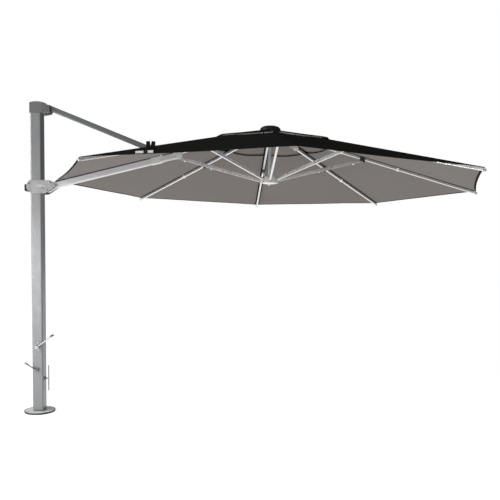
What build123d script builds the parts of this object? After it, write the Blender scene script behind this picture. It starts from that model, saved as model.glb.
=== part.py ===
from build123d import *
import os
from math import atan, atan2, cos, degrees, hypot, radians, sin

os.makedirs("parts", exist_ok=True)

# Cantilever parasol. The origin is the centre of the floor plate's underside, +Z runs up the
# mast and +X points at the canopy. All sizes are in millimetres.

# Floor plate, spindle and swivel washer
plate_radius = 140
plate_thickness = 14
plate_edge = 2
ground_bolt_ring = 110
ground_bolt_count = 8
ground_bolt_radius = 6
spindle_radius = 35
spindle_wall = 4
spindle_top = 350
washer_radius = 47
washer_top = 20

# Mast
mast_width = 100
mast_depth = 110
mast_corner = 13
mast_wall = 3
mast_bottom = 20.3
mast_top = 2774
bush_height = 40
bush_bottoms = (24, 250)
running_gap = 0.1
mast_side = mast_width / 2
mast_face = mast_depth / 2

# Lift linkage: equal strut and arm lengths keep the carriage upright on the mast
head_pivot_x = 100
head_pivot_z = 2829
carriage_pivot_z = 2082
elbow_x = 1090
head_pin_radius = 8
head_pin_half = 55
elbow_pin_radius = 6
pin_proud = 2
elbow_z = (head_pivot_z + carriage_pivot_z) / 2
strut_reach = hypot(elbow_x - head_pivot_x, head_pivot_z - elbow_z)
strut_angle = atan2(head_pivot_z - elbow_z, elbow_x - head_pivot_x)

# Strut
strut_width = 40
strut_depth = 46
strut_corner = 8
strut_wall = 2.5
strut_rise = 8
strut_start = 62
strut_end = 66
fork_radius = 17
fork_inner = 9.7
lug_half = 9.2
head_brow = 20
head_arch = (-12, 20)
head_chin = (-11, -12)

# Head casting
cast_left = 52
cast_half = 57
cast_back_rise = 84
cast_corner = (-48, 93)
cast_top_back = (-38, 97)
cast_crest = (10, 103.5)
cast_top_front = (60, 99)
cast_break = 62
cast_taper_start = 60
nose_half = 50
nose_brow = (97, 87)
nose_bend = (120, 68)
nose_lip = (126, 60)
nose_end = 127
nose_end_rise = 50
nose_end_low = 30
nose_jaw = (123, 16)
nose_foot = (110, 8)
nose_slot_start = 72
nose_slot_half = 20.6
plug_depth = 60
plug_wall = 8
sheave_x = 10
sheave_z = 2735
sheave_radius = 28
sheave_half = 8
sheave_axle_radius = 5

# Canopy frame
canopy_x = 2150
corner_count = 8
apex_z = 2703
roof_slope = 0.268
roof_angle = atan(roof_slope)
corner_radius = 1996
hem_depth = 20
cloth_drop = 1.55
vent_opening = 553
vent_radius = 650
vent_apex_z = 2700
vent_slope = 0.241
vent_hole = 34

# Ribs and stretchers
pivot_radius = 74
crown_pivot_z = 2635
rib_pin_radius_out = 880
rib_pin_z = 2428
hub_pivot_z = 2 * rib_pin_z - crown_pivot_z
arm_angle = 180
arm_pin_drop = 12
stretcher_reach = hypot(rib_pin_radius_out - pivot_radius, crown_pivot_z - rib_pin_z)
rib_width = 20
rib_depth = 26
rib_corner = 4
rib_wall = 2
rib_drop = 16.6
rib_start = 116
rib_end = 1985
lug_width = 12
lug_radius = 10
lug_mouth = 109
lug_insert = 160
lug_slack = 1
pin_radius = 4
stretcher_width = 18
stretcher_end = 8
stretcher_back = 18
stretcher_taper = 60
stretcher_full = 160
stretcher_skin = 2
bracket_width = 25
bracket_half = 24
bracket_slot = 9.4
clip_radius = 1220
clip_half = 12
tip_length = 18
tip_sink = 3
tip_corner = 8

# Crown and lower hub
crown_radius = 97
crown_bottom = 2610
crown_top = 2652
crown_core = 62
crown_slot_half = 6.4
knob_bottom = 2680
knob_top = 2718
knob_skin = 5
knob_boss = 20
post_radius = 14
post_bottom = 2218
post_top = 2630
hub_radius = 86
hub_core = 64
hub_bottom = 2200
hub_top = 2250
hub_slot_half = 9.6
hub_bore = 14.6
hub_bore_bottom = 2214
ring_outer = 60
ring_inner = 34
ring_thickness = 5
loop_radius = 9
loop_wire = 2.5

# Arm
arm_width = 45
arm_depth = 56
arm_corner = 7
arm_wall = 4
arm_flank = 5
arm_drop = 37
arm_inner = 895
arm_outer = 1985
groove_depth = 3
groove_height = 8
arm_slot_end = 978
rib_joint_gap = 2
seam_radius = 1002
seam_width = 11
seam_height = 40
collar_inner = 1015
collar_outer = 1105
collar_wall = 4
block_inner = 824
block_half = 24
slot_headroom = 10
root_half = 20
root_radius = 16

# Carriage
carriage_top = 2171
carriage_low = 2050
carriage_rear_top = (-45, carriage_top)
carriage_rear = (-84, 2110)
carriage_rear_low = (-40, carriage_low)
carriage_front_top = (108, carriage_top)
carriage_shoulder = (154, 2158)
carriage_nose = (172, 2126)
carriage_chin = (170, 2114)
carriage_jaw = (160, 2104)
carriage_heel = (100, 2062)
carriage_sole = (84, 2053)
carriage_front_low = (64, carriage_low)
carriage_gap = 2.5
carriage_plate = 5
roller_radius = 12
roller_half = 54
roller_gap = 1
roller_offset = mast_side + roller_radius + roller_gap
rear_roller_heights = (2078, 2136)
front_roller_z = 2100
bolt_radius = 5
bolt_head_radius = 8
bolt_head = 5
stop_screw_x = 129
stop_screw_z = 2149
grip_front = 80
grip_back = 112
grip_bottom = 2070
grip_top = 2136
grip_half = 28
wing_front = 70
wing_back = 82
wing_low = 2095
wing_high = 2117

# Winches and brake
winch_x = 7
winch_z = 630
winch_elbow_x = 164
winch_elbow_z = 747
winch_rod_y = -100
winch_grip_length = 90
winch_grip_radius = 9.5
grip_spindle_radius = 4
grip_rounding = 3
grip_gap = 2
rod_bend = 7
hub_skin = 2
fold_x = -2
fold_z = 407
fold_end_x = -113
fold_end_z = 479
fold_rod_y = -74
fold_grip_radius = 9
fold_grip_length = 48
fold_grip_start = 84
rod_radius = 5.5
hub_gap = 0.5
face_plate = 4
face_plate_width = 56
face_plate_height = 96
fold_plate_radius = 26
crank_hub_radius = 16
fold_hub_radius = 13
shaft_radius = 7
shaft_back = 46
drum_radius = 28
drum_flange = 36
drum_half = 36
drum_rim = 4
fold_drum_radius = 18
fold_drum_flange = 24
brake_z = 317
brake_screw_radius = 6
brake_bar_x = 85
brake_bar_radius = 7
bar_rounding = 2
brake_bar_low = 199
brake_bar_high = 442
brake_tip_gap = 0.4
boss_radius = 16
boss_length = 12


def roof_height(radius):
    """Height of the cloth's top line above a point of a rib, from its distance to the axis."""
    return apex_z - roof_slope * radius


def radial_plane(angle):
    """Upright plane through the canopy axis; local x is the distance from it, local y is Z."""
    outward = (cos(radians(angle)), sin(radians(angle)), 0)
    across = (sin(radians(angle)), -cos(radians(angle)), 0)
    return Plane(origin=(canopy_x, 0, 0), x_dir=outward, z_dir=across)


def arm_drop_at(angle):
    """How much lower the arm's own joints sit than those of the other ribs."""
    return arm_pin_drop if angle == arm_angle else 0


def crown_pivot(angle):
    """A rib's pivot in the crown hub, in the rib's upright plane."""
    return (pivot_radius, crown_pivot_z - arm_drop_at(angle))


def hub_pivot(angle):
    """A stretcher's pivot in the lower hub, in the rib's upright plane."""
    return (pivot_radius, hub_pivot_z - arm_drop_at(angle))


def stretcher_pin(angle):
    """A stretcher's pin under its rib, in the rib's upright plane."""
    return (rib_pin_radius_out, rib_pin_z - arm_drop_at(angle))


def rib_section(angle, radius, drop):
    """Plane square to a rib, looking outwards and down along it."""
    turn = radians(angle)
    centre = (
        canopy_x + radius * cos(turn),
        radius * sin(turn),
        roof_height(radius) - drop,
    )
    along = (
        cos(turn) * cos(roof_angle),
        sin(turn) * cos(roof_angle),
        -sin(roof_angle),
    )
    return Plane(origin=centre, x_dir=(-sin(turn), cos(turn), 0), z_dir=along)


def strut_frame(distance):
    """Side-on plane of the strut, with local x along it, this far from the head pivot."""
    centre = (
        head_pivot_x + distance * cos(strut_angle),
        0,
        head_pivot_z - distance * sin(strut_angle),
    )
    along = (cos(strut_angle), 0, -sin(strut_angle))
    return Plane(origin=centre, x_dir=along, z_dir=(0, -1, 0))


def strut_section(distance):
    """Plane square to the strut tube at this distance from the head pivot."""
    centre = (
        head_pivot_x + distance * cos(strut_angle) + strut_rise * sin(strut_angle),
        0,
        head_pivot_z - distance * sin(strut_angle) + strut_rise * cos(strut_angle),
    )
    along = (cos(strut_angle), 0, -sin(strut_angle))
    return Plane(origin=centre, x_dir=(0, 1, 0), z_dir=along)


def sloped_band(start, end, upper, lower):
    """Corners of a band that runs parallel to the roof between two depths under it."""
    return [
        (start, roof_height(start) - upper),
        (end, roof_height(end) - upper),
        (end, roof_height(end) - lower),
        (start, roof_height(start) - lower),
    ]


def along_rib(start, end):
    """True length along the slope between two distances from the canopy axis."""
    return (end - start) / cos(roof_angle)


# ---------------------------------------------------------------- floor plate and spindle

with BuildPart() as base_plate:
    with BuildSketch(Plane.XY):
        Circle(plate_radius)
        with PolarLocations(ground_bolt_ring, ground_bolt_count):
            Circle(ground_bolt_radius, mode=Mode.SUBTRACT)
    extrude(amount=plate_thickness)
    rim = base_plate.edges().filter_by(GeomType.CIRCLE).sort_by(SortBy.RADIUS)[-2:]
    fillet(rim.sort_by(Axis.Z)[-1], radius=plate_edge)
base_plate.part.label = "base_plate"
export_step(base_plate.part, "parts/base_plate.step")

with BuildPart() as spindle:
    with BuildSketch(Plane.XY.offset(plate_thickness)):
        Circle(spindle_radius)
        Circle(spindle_radius - spindle_wall, mode=Mode.SUBTRACT)
    extrude(amount=spindle_top - plate_thickness)
spindle.part.label = "spindle"
export_step(spindle.part, "parts/spindle.step")

with BuildPart() as swivel_washer:
    with BuildSketch(Plane.XY.offset(plate_thickness)):
        Circle(washer_radius)
        Circle(spindle_radius, mode=Mode.SUBTRACT)
    extrude(amount=washer_top - plate_thickness)
swivel_washer.part.label = "swivel_washer"
export_step(swivel_washer.part, "parts/swivel_washer.step")

# ---------------------------------------------------------------- mast

with BuildPart() as mast_tube:
    with BuildSketch(Plane.XY.offset(mast_bottom)):
        RectangleRounded(mast_width, mast_depth, mast_corner)
        RectangleRounded(
            mast_width - 2 * mast_wall,
            mast_depth - 2 * mast_wall,
            mast_corner - mast_wall,
            mode=Mode.SUBTRACT,
        )
    extrude(amount=mast_top - mast_bottom)
    # Shaft holes through the front wall
    with BuildSketch(Plane.XZ.offset(mast_face - 2 * mast_wall)):
        with Locations((winch_x, winch_z), (fold_x, fold_z)):
            Circle(shaft_radius + running_gap)
    extrude(amount=3 * mast_wall, mode=Mode.SUBTRACT)
    # Welded boss that the brake screw turns in
    with BuildSketch(Plane.YZ.offset(mast_side)):
        with Locations((0, brake_z)):
            Circle(boss_radius)
    extrude(amount=boss_length)
    with BuildSketch(Plane.YZ.offset(mast_side - 2 * mast_wall)):
        with Locations((0, brake_z)):
            Circle(brake_screw_radius + running_gap)
    extrude(amount=boss_length + 3 * mast_wall, mode=Mode.SUBTRACT)
mast_tube.part.label = "mast_tube"
export_step(mast_tube.part, "parts/mast_tube.step")

with BuildPart() as spindle_bushes:
    for bottom in bush_bottoms:
        with BuildSketch(Plane.XY.offset(bottom)):
            RectangleRounded(
                mast_width - 2 * mast_wall,
                mast_depth - 2 * mast_wall,
                mast_corner - mast_wall,
            )
            Circle(spindle_radius + running_gap, mode=Mode.SUBTRACT)
        extrude(amount=bush_height)
spindle_bushes.part.label = "spindle_bushes"
export_step(spindle_bushes.part, "parts/spindle_bushes.step")

# Side-on plane at the mast's top edge, with local x along +X and local y along +Z
cast_plane = Plane(origin=(0, 0, mast_top), x_dir=(1, 0, 0), z_dir=(0, -1, 0))
cast_shoulder = (-cast_left, cast_back_rise)
nose_tip = (nose_end, nose_end_rise)
nose_chin = (nose_end, nose_end_low)

with BuildPart() as head_casting:
    with BuildSketch(cast_plane):
        with BuildLine():
            Line((-cast_left, 0), cast_shoulder)
            ThreePointArc(cast_shoulder, cast_corner, cast_top_back)
            ThreePointArc(cast_top_back, cast_crest, cast_top_front)
            ThreePointArc(cast_top_front, nose_brow, nose_bend)
            ThreePointArc(nose_bend, nose_lip, nose_tip)
            Line(nose_tip, nose_chin)
            ThreePointArc(nose_chin, nose_jaw, nose_foot)
            Line(nose_foot, (cast_break, 0))
            Line((cast_break, 0), (-cast_left, 0))
        make_face()
    extrude(amount=cast_half, both=True)
    # The casting narrows towards its nose
    with BuildSketch(Plane.XY.offset(mast_top)):
        Polygon(
            (-cast_left, cast_half),
            (-cast_left, -cast_half),
            (cast_taper_start, -cast_half),
            (nose_end, -nose_half),
            (nose_end, nose_half),
            (cast_taper_start, cast_half),
            align=None,
        )
    extrude(amount=nose_end, mode=Mode.INTERSECT)
    # Slot for the strut, open forwards and downwards
    with BuildSketch(Plane.XY.offset(mast_top)):
        with Locations((nose_slot_start + nose_end / 2, 0)):
            Rectangle(nose_end, 2 * nose_slot_half)
    extrude(amount=nose_end, both=True, mode=Mode.SUBTRACT)
    with BuildSketch(Plane.XZ):
        with Locations((head_pivot_x, head_pivot_z)):
            Circle(head_pin_radius)
    extrude(amount=cast_half, both=True, mode=Mode.SUBTRACT)
    # Hollow plug inside the mast, with the sheave axle's holes
    with BuildSketch(Plane.XY.offset(mast_top - plug_depth)):
        RectangleRounded(
            mast_width - 2 * mast_wall,
            mast_depth - 2 * mast_wall,
            mast_corner - mast_wall,
        )
        Rectangle(
            mast_width - 2 * mast_wall - 2 * plug_wall,
            mast_depth - 2 * mast_wall - 2 * plug_wall,
            mode=Mode.SUBTRACT,
        )
    extrude(amount=plug_depth)
    with BuildSketch(Plane.XZ):
        with Locations((sheave_x, sheave_z)):
            Circle(sheave_axle_radius)
    extrude(amount=mast_face, both=True, mode=Mode.SUBTRACT)
head_casting.part.label = "head_casting"
export_step(head_casting.part, "parts/head_casting.step")

with BuildPart() as head_pins:
    with BuildSketch(Plane.XZ):
        with Locations((head_pivot_x, head_pivot_z)):
            Circle(head_pin_radius)
    extrude(amount=head_pin_half, both=True)
    with BuildSketch(Plane.XZ):
        with Locations((sheave_x, sheave_z)):
            Circle(sheave_axle_radius)
    extrude(amount=mast_face - mast_wall, both=True)
head_pins.part.label = "head_pins"
export_step(head_pins.part, "parts/head_pins.step")

with BuildPart() as rope_sheave:
    with BuildSketch(Plane.XZ):
        with Locations((sheave_x, sheave_z)):
            Circle(sheave_radius)
            Circle(sheave_axle_radius + running_gap, mode=Mode.SUBTRACT)
    extrude(amount=sheave_half, both=True)
rope_sheave.part.label = "rope_sheave"
export_step(rope_sheave.part, "parts/rope_sheave.step")

with BuildPart() as winch_plates:
    with BuildSketch(Plane.XZ.offset(mast_face)):
        with Locations((winch_x, winch_z)):
            RectangleRounded(face_plate_width, face_plate_height, mast_corner)
            Circle(shaft_radius + running_gap, mode=Mode.SUBTRACT)
        with Locations((fold_x, fold_z)):
            Circle(fold_plate_radius)
            Circle(shaft_radius + running_gap, mode=Mode.SUBTRACT)
    extrude(amount=face_plate)
winch_plates.part.label = "winch_plates"
export_step(winch_plates.part, "parts/winch_plates.step")

# ---------------------------------------------------------------- lower winch

hub_back = mast_face + face_plate + hub_gap
winch_hub_front = -winch_rod_y + rod_radius + hub_skin
winch_start = (winch_x, winch_rod_y, winch_z)
winch_elbow = (winch_elbow_x, winch_rod_y, winch_elbow_z)
winch_shoulder = (winch_elbow_x, winch_rod_y - rod_bend - hub_gap, winch_elbow_z)
rod_direction = (winch_elbow_x - winch_x, 0, winch_elbow_z - winch_z)

with BuildPart() as winch_crank:
    with BuildSketch(Plane.XZ.offset(hub_back)):
        with Locations((winch_x, winch_z)):
            Circle(crank_hub_radius)
    extrude(amount=winch_hub_front - hub_back)
    with BuildLine() as rod_path:
        FilletPolyline(winch_start, winch_elbow, winch_shoulder, radius=rod_bend)
    with BuildSketch(Plane(origin=winch_start, z_dir=rod_direction)):
        Circle(rod_radius)
    sweep(path=rod_path.line)
    with BuildSketch(Plane(origin=winch_shoulder, z_dir=(0, -1, 0))):
        Circle(grip_spindle_radius)
    extrude(amount=winch_grip_length)
    with BuildSketch(Plane.XZ.offset(hub_back)):
        with Locations((winch_x, winch_z)):
            Circle(shaft_radius)
    extrude(amount=winch_hub_front - hub_back - crank_hub_radius, mode=Mode.SUBTRACT)
winch_crank.part.label = "winch_crank"
export_step(winch_crank.part, "parts/winch_crank.step")

with BuildPart() as winch_grip:
    with BuildSketch(Plane(origin=winch_shoulder, z_dir=(0, -1, 0)).offset(grip_gap)):
        Circle(winch_grip_radius)
        Circle(grip_spindle_radius + running_gap, mode=Mode.SUBTRACT)
    extrude(amount=winch_grip_length)
    ends = winch_grip.edges().filter_by(GeomType.CIRCLE).group_by(SortBy.RADIUS)[-1]
    fillet(ends, radius=grip_rounding)
winch_grip.part.label = "winch_grip"
export_step(winch_grip.part, "parts/winch_grip.step")

with BuildPart() as winch_drum:
    with BuildSketch(Plane.XZ):
        with Locations((winch_x, winch_z)):
            Circle(drum_radius)
    extrude(amount=drum_half, both=True)
    with BuildSketch(
        Plane.XZ.offset(drum_half - drum_rim), Plane.XZ.offset(-drum_half)
    ):
        with Locations((winch_x, winch_z)):
            Circle(drum_flange)
    extrude(amount=drum_rim)
    with BuildSketch(Plane.XZ.offset(-shaft_back)):
        with Locations((winch_x, winch_z)):
            Circle(shaft_radius)
    extrude(amount=shaft_back + winch_hub_front - crank_hub_radius)
winch_drum.part.label = "winch_drum"
export_step(winch_drum.part, "parts/winch_drum.step")

# ---------------------------------------------------------------- canopy winch

fold_hub_front = -fold_rod_y + rod_radius + hub_skin
fold_angle = atan2(fold_end_z - fold_z, fold_end_x - fold_x)
fold_direction = (cos(fold_angle), 0, sin(fold_angle))
fold_rod = Plane(origin=(fold_x, fold_rod_y, fold_z), z_dir=fold_direction)

with BuildPart() as fold_crank:
    with BuildSketch(Plane.XZ.offset(hub_back)):
        with Locations((fold_x, fold_z)):
            Circle(fold_hub_radius)
    extrude(amount=fold_hub_front - hub_back)
    with BuildSketch(fold_rod):
        Circle(rod_radius)
    extrude(amount=fold_grip_start + fold_grip_length / 2)
    with BuildSketch(Plane.XZ.offset(hub_back)):
        with Locations((fold_x, fold_z)):
            Circle(shaft_radius)
    extrude(amount=rod_radius, mode=Mode.SUBTRACT)
fold_crank.part.label = "fold_crank"
export_step(fold_crank.part, "parts/fold_crank.step")

with BuildPart() as fold_grip:
    with BuildSketch(fold_rod.offset(fold_grip_start)):
        Circle(fold_grip_radius)
    extrude(amount=fold_grip_length)
    ends = fold_grip.edges().filter_by(GeomType.CIRCLE)
    fillet(ends, radius=grip_rounding)
    with BuildSketch(fold_rod.offset(fold_grip_start)):
        Circle(rod_radius)
    extrude(amount=fold_grip_length / 2, mode=Mode.SUBTRACT)
fold_grip.part.label = "fold_grip"
export_step(fold_grip.part, "parts/fold_grip.step")

with BuildPart() as fold_drum:
    with BuildSketch(Plane.XZ):
        with Locations((fold_x, fold_z)):
            Circle(fold_drum_radius)
    extrude(amount=drum_half, both=True)
    with BuildSketch(
        Plane.XZ.offset(drum_half - drum_rim), Plane.XZ.offset(-drum_half)
    ):
        with Locations((fold_x, fold_z)):
            Circle(fold_drum_flange)
    extrude(amount=drum_rim)
    with BuildSketch(Plane.XZ.offset(-shaft_back)):
        with Locations((fold_x, fold_z)):
            Circle(shaft_radius)
    extrude(amount=shaft_back + hub_back + rod_radius)
fold_drum.part.label = "fold_drum"
export_step(fold_drum.part, "parts/fold_drum.step")

# ---------------------------------------------------------------- swivel brake

with BuildPart() as brake_handle:
    with BuildSketch(Plane.YZ.offset(spindle_radius + brake_tip_gap)):
        with Locations((0, brake_z)):
            Circle(brake_screw_radius)
    extrude(amount=brake_bar_x - spindle_radius - brake_tip_gap)
    with BuildSketch(Plane.XY.offset(brake_bar_low)):
        with Locations((brake_bar_x, 0)):
            Circle(brake_bar_radius)
    extrude(amount=brake_bar_high - brake_bar_low)
    ends = brake_handle.edges().filter_by(GeomType.CIRCLE).group_by(Axis.Z)
    fillet(ends[0] + ends[-1], radius=bar_rounding)
brake_handle.part.label = "brake_handle"
export_step(brake_handle.part, "parts/brake_handle.step")

# ---------------------------------------------------------------- strut

with BuildPart() as strut_tube:
    with BuildSketch(strut_section(strut_start)):
        RectangleRounded(strut_width, strut_depth, strut_corner)
        RectangleRounded(
            strut_width - 2 * strut_wall,
            strut_depth - 2 * strut_wall,
            strut_corner - strut_wall,
            mode=Mode.SUBTRACT,
        )
    extrude(amount=strut_reach - strut_end - strut_start)
strut_tube.part.label = "strut_tube"
export_step(strut_tube.part, "parts/strut_tube.step")

tube_top = strut_rise + strut_depth / 2
tube_low = strut_rise - strut_depth / 2

with BuildPart() as strut_head:
    with BuildSketch(strut_frame(0)):
        with BuildLine():
            Line((0, tube_low), (strut_start, tube_low))
            Line((strut_start, tube_low), (strut_start, tube_top))
            Line((strut_start, tube_top), (head_brow, tube_top))
            ThreePointArc((head_brow, tube_top), head_arch, (-fork_radius, 0))
            ThreePointArc((-fork_radius, 0), head_chin, (0, tube_low))
        make_face()
        Circle(head_pin_radius + running_gap, mode=Mode.SUBTRACT)
    extrude(amount=strut_width / 2, both=True)
    with BuildSketch(strut_section(strut_start)):
        RectangleRounded(
            strut_width - 2 * strut_wall,
            strut_depth - 2 * strut_wall,
            strut_corner - strut_wall,
        )
    extrude(amount=strut_depth)
strut_head.part.label = "strut_head"
export_step(strut_head.part, "parts/strut_head.step")

with BuildPart() as strut_fork:
    with BuildSketch(strut_frame(strut_reach)):
        with BuildLine():
            Line((-strut_end, tube_low), (-strut_end, tube_top))
            Line((-strut_end, tube_top), (0, fork_radius))
            ThreePointArc((0, fork_radius), (fork_radius, 0), (0, -fork_radius))
            Line((0, -fork_radius), (-strut_end, tube_low))
        make_face()
        Circle(elbow_pin_radius + running_gap, mode=Mode.SUBTRACT)
    extrude(amount=strut_width / 2, both=True)
    with BuildSketch(strut_frame(strut_reach)):
        with Locations((0, 0)):
            Rectangle(3 * fork_radius, 3 * strut_depth)
    extrude(amount=fork_inner, both=True, mode=Mode.SUBTRACT)
    with BuildSketch(strut_section(strut_reach - strut_end)):
        RectangleRounded(
            strut_width - 2 * strut_wall,
            strut_depth - 2 * strut_wall,
            strut_corner - strut_wall,
        )
    extrude(amount=-strut_depth)
strut_fork.part.label = "strut_fork"
export_step(strut_fork.part, "parts/strut_fork.step")

# ---------------------------------------------------------------- arm

arm_plane = radial_plane(arm_angle)
elbow_radius = canopy_x - elbow_x
root_pivot_radius = canopy_x - head_pivot_x
arm_pin_z = rib_pin_z - arm_pin_drop
block_slot_drop = roof_height(rib_pin_radius_out) - arm_pin_z - slot_headroom

with BuildPart() as arm_tube:
    with BuildSketch(rib_section(arm_angle, arm_inner, arm_drop)):
        RectangleRounded(arm_width, arm_depth, arm_corner)
        Rectangle(
            arm_width - 2 * arm_flank, arm_depth - 2 * arm_wall, mode=Mode.SUBTRACT
        )
        with Locations(
            ((arm_width - groove_depth) / 2, 0), ((groove_depth - arm_width) / 2, 0)
        ):
            Rectangle(groove_depth, groove_height, mode=Mode.SUBTRACT)
    extrude(amount=along_rib(arm_inner, arm_outer))
    # The arm's own stretcher folds into this slot in the underside
    with BuildSketch(arm_plane):
        Polygon(
            *sloped_band(arm_inner - block_half, arm_slot_end, arm_drop, 3 * arm_drop),
            align=None,
        )
    extrude(amount=hub_slot_half, both=True, mode=Mode.SUBTRACT)
    # Slanted seam beside the collar, cut into both flanks
    with BuildSketch(
        arm_plane.offset(arm_width / 2 - groove_depth), arm_plane.offset(-arm_width / 2)
    ):
        with Locations((seam_radius, roof_height(seam_radius) - arm_drop)):
            Rectangle(seam_width, seam_height, rotation=2 * degrees(roof_angle))
    extrude(amount=groove_depth, mode=Mode.SUBTRACT)
arm_tube.part.label = "arm_tube"
export_step(arm_tube.part, "parts/arm_tube.step")

root_axis_z = roof_height(arm_outer) - arm_drop
root_lean = atan2(root_axis_z - carriage_pivot_z, root_pivot_radius - arm_outer)
face_lean = arm_depth / 2 * sin(roof_angle)
face_rise = arm_depth / 2 * cos(roof_angle)
root_side_r = root_radius * sin(root_lean)
root_side_z = root_radius * cos(root_lean)

with BuildPart() as arm_root:
    with BuildSketch(arm_plane):
        Polygon(
            (arm_outer + face_lean, root_axis_z + face_rise),
            (root_pivot_radius + root_side_r, carriage_pivot_z + root_side_z),
            (root_pivot_radius - root_side_r, carriage_pivot_z - root_side_z),
            (arm_outer - face_lean, root_axis_z - face_rise),
            align=None,
        )
        with Locations((root_pivot_radius, carriage_pivot_z)):
            Circle(root_radius)
            Circle(bolt_radius + running_gap, mode=Mode.SUBTRACT)
    extrude(amount=root_half, both=True)
    with BuildSketch(rib_section(arm_angle, arm_outer, arm_drop)):
        RectangleRounded(arm_width, arm_depth, arm_corner)
    extrude(amount=2 * arm_wall)
    with BuildSketch(rib_section(arm_angle, arm_outer, arm_drop)):
        Rectangle(arm_width - 2 * arm_flank, arm_depth - 2 * arm_wall)
    extrude(amount=-arm_depth)
arm_root.part.label = "arm_root"
export_step(arm_root.part, "parts/arm_root.step")

lug_foot_z = elbow_z - 3 * fork_radius
lug_foot_inner = (elbow_radius - 2 * fork_radius, lug_foot_z)
lug_foot_outer = (elbow_radius + 2 * fork_radius, lug_foot_z)

with BuildPart() as arm_collar:
    with BuildSketch(rib_section(arm_angle, collar_inner, arm_drop)):
        RectangleRounded(
            arm_width + 2 * collar_wall, arm_depth + 2 * collar_wall, arm_corner
        )
    extrude(amount=along_rib(collar_inner, collar_outer))
    with BuildSketch(arm_plane):
        with BuildLine():
            Line(lug_foot_inner, (elbow_radius - fork_radius, elbow_z))
            ThreePointArc(
                (elbow_radius - fork_radius, elbow_z),
                (elbow_radius, elbow_z + fork_radius),
                (elbow_radius + fork_radius, elbow_z),
            )
            Line((elbow_radius + fork_radius, elbow_z), lug_foot_outer)
            Line(lug_foot_outer, lug_foot_inner)
        make_face()
        with Locations((elbow_radius, elbow_z)):
            Circle(elbow_pin_radius, mode=Mode.SUBTRACT)
    extrude(amount=lug_half, both=True)
    with BuildSketch(rib_section(arm_angle, collar_inner, arm_drop)):
        RectangleRounded(arm_width, arm_depth, arm_corner)
    extrude(amount=along_rib(collar_inner, collar_outer), mode=Mode.SUBTRACT)
arm_collar.part.label = "arm_collar"
export_step(arm_collar.part, "parts/arm_collar.step")

with BuildPart() as arm_pins:
    with BuildSketch(arm_plane):
        with Locations((elbow_radius, elbow_z)):
            Circle(elbow_pin_radius)
    extrude(amount=strut_width / 2 + pin_proud, both=True)
    with BuildSketch(arm_plane):
        with Locations(stretcher_pin(arm_angle)):
            Circle(pin_radius)
    extrude(amount=block_half, both=True)
arm_pins.part.label = "arm_pins"
export_step(arm_pins.part, "parts/arm_pins.step")

with BuildPart() as arm_block:
    with BuildSketch(rib_section(arm_angle, block_inner, arm_drop)):
        Rectangle(2 * block_half, arm_depth)
    extrude(amount=along_rib(block_inner, arm_inner))
    with BuildSketch(arm_plane):
        with Locations(stretcher_pin(arm_angle)):
            Circle(pin_radius)
    extrude(amount=block_half, both=True, mode=Mode.SUBTRACT)
    with BuildSketch(rib_section(arm_angle, block_inner - block_half, rib_drop)):
        Rectangle(rib_width, rib_depth)
    extrude(amount=along_rib(block_inner, arm_inner) + 2 * block_half, mode=Mode.SUBTRACT)
    with BuildSketch(arm_plane):
        Polygon(
            *sloped_band(
                block_inner - block_half, arm_inner + block_half, block_slot_drop, 3 * arm_drop
            ),
            align=None,
        )
    extrude(amount=hub_slot_half, both=True, mode=Mode.SUBTRACT)
arm_block.part.label = "arm_block"
export_step(arm_block.part, "parts/arm_block.step")


def root_lug(angle):
    """Outline of a rib's inner lug, from its crown pivot into the end of its tube."""
    half = rib_depth / 2 - rib_wall - lug_slack
    pivot_r, pivot_z = crown_pivot(angle)
    return [
        (pivot_r, pivot_z + lug_radius),
        (pivot_r, pivot_z - lug_radius),
        (lug_mouth, roof_height(lug_mouth) - rib_drop - half),
        (lug_insert, roof_height(lug_insert) - rib_drop - half),
        (lug_insert, roof_height(lug_insert) - rib_drop + half),
        (lug_mouth, roof_height(lug_mouth) - rib_drop + half),
    ]


with BuildPart() as arm_rib:
    with BuildSketch(rib_section(arm_angle, rib_start, rib_drop)):
        RectangleRounded(rib_width, rib_depth, rib_corner)
        RectangleRounded(
            rib_width - 2 * rib_wall,
            rib_depth - 2 * rib_wall,
            rib_corner - rib_wall,
            mode=Mode.SUBTRACT,
        )
    extrude(amount=along_rib(rib_start, arm_inner - rib_joint_gap))
    with BuildSketch(arm_plane):
        Polygon(*root_lug(arm_angle), align=None)
        with Locations(crown_pivot(arm_angle)):
            Circle(lug_radius)
            Circle(pin_radius + running_gap, mode=Mode.SUBTRACT)
    extrude(amount=lug_width / 2, both=True)
arm_rib.part.label = "arm_rib"
export_step(arm_rib.part, "parts/arm_rib.step")

# ---------------------------------------------------------------- carriage

plate_back = mast_face + carriage_gap
plate_front = plate_back + carriage_plate
roller_axles = [(-roller_offset, height) for height in rear_roller_heights]
roller_axles.append((roller_offset, front_roller_z))
through_bolts = roller_axles + [(head_pivot_x, carriage_pivot_z)]

with BuildPart() as carriage_plates:
    with BuildSketch(Plane.XZ.offset(plate_back), Plane.XZ.offset(-plate_front)):
        with BuildLine():
            Line(carriage_rear_top, carriage_front_top)
            ThreePointArc(carriage_front_top, carriage_shoulder, carriage_nose)
            ThreePointArc(carriage_nose, carriage_chin, carriage_jaw)
            Line(carriage_jaw, carriage_heel)
            ThreePointArc(carriage_heel, carriage_sole, carriage_front_low)
            Line(carriage_front_low, carriage_rear_low)
            ThreePointArc(carriage_rear_low, carriage_rear, carriage_rear_top)
        make_face()
        with Locations(*through_bolts, (stop_screw_x, stop_screw_z)):
            Circle(bolt_radius, mode=Mode.SUBTRACT)
    extrude(amount=carriage_plate)
carriage_plates.part.label = "carriage_plates"
export_step(carriage_plates.part, "parts/carriage_plates.step")

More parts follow.
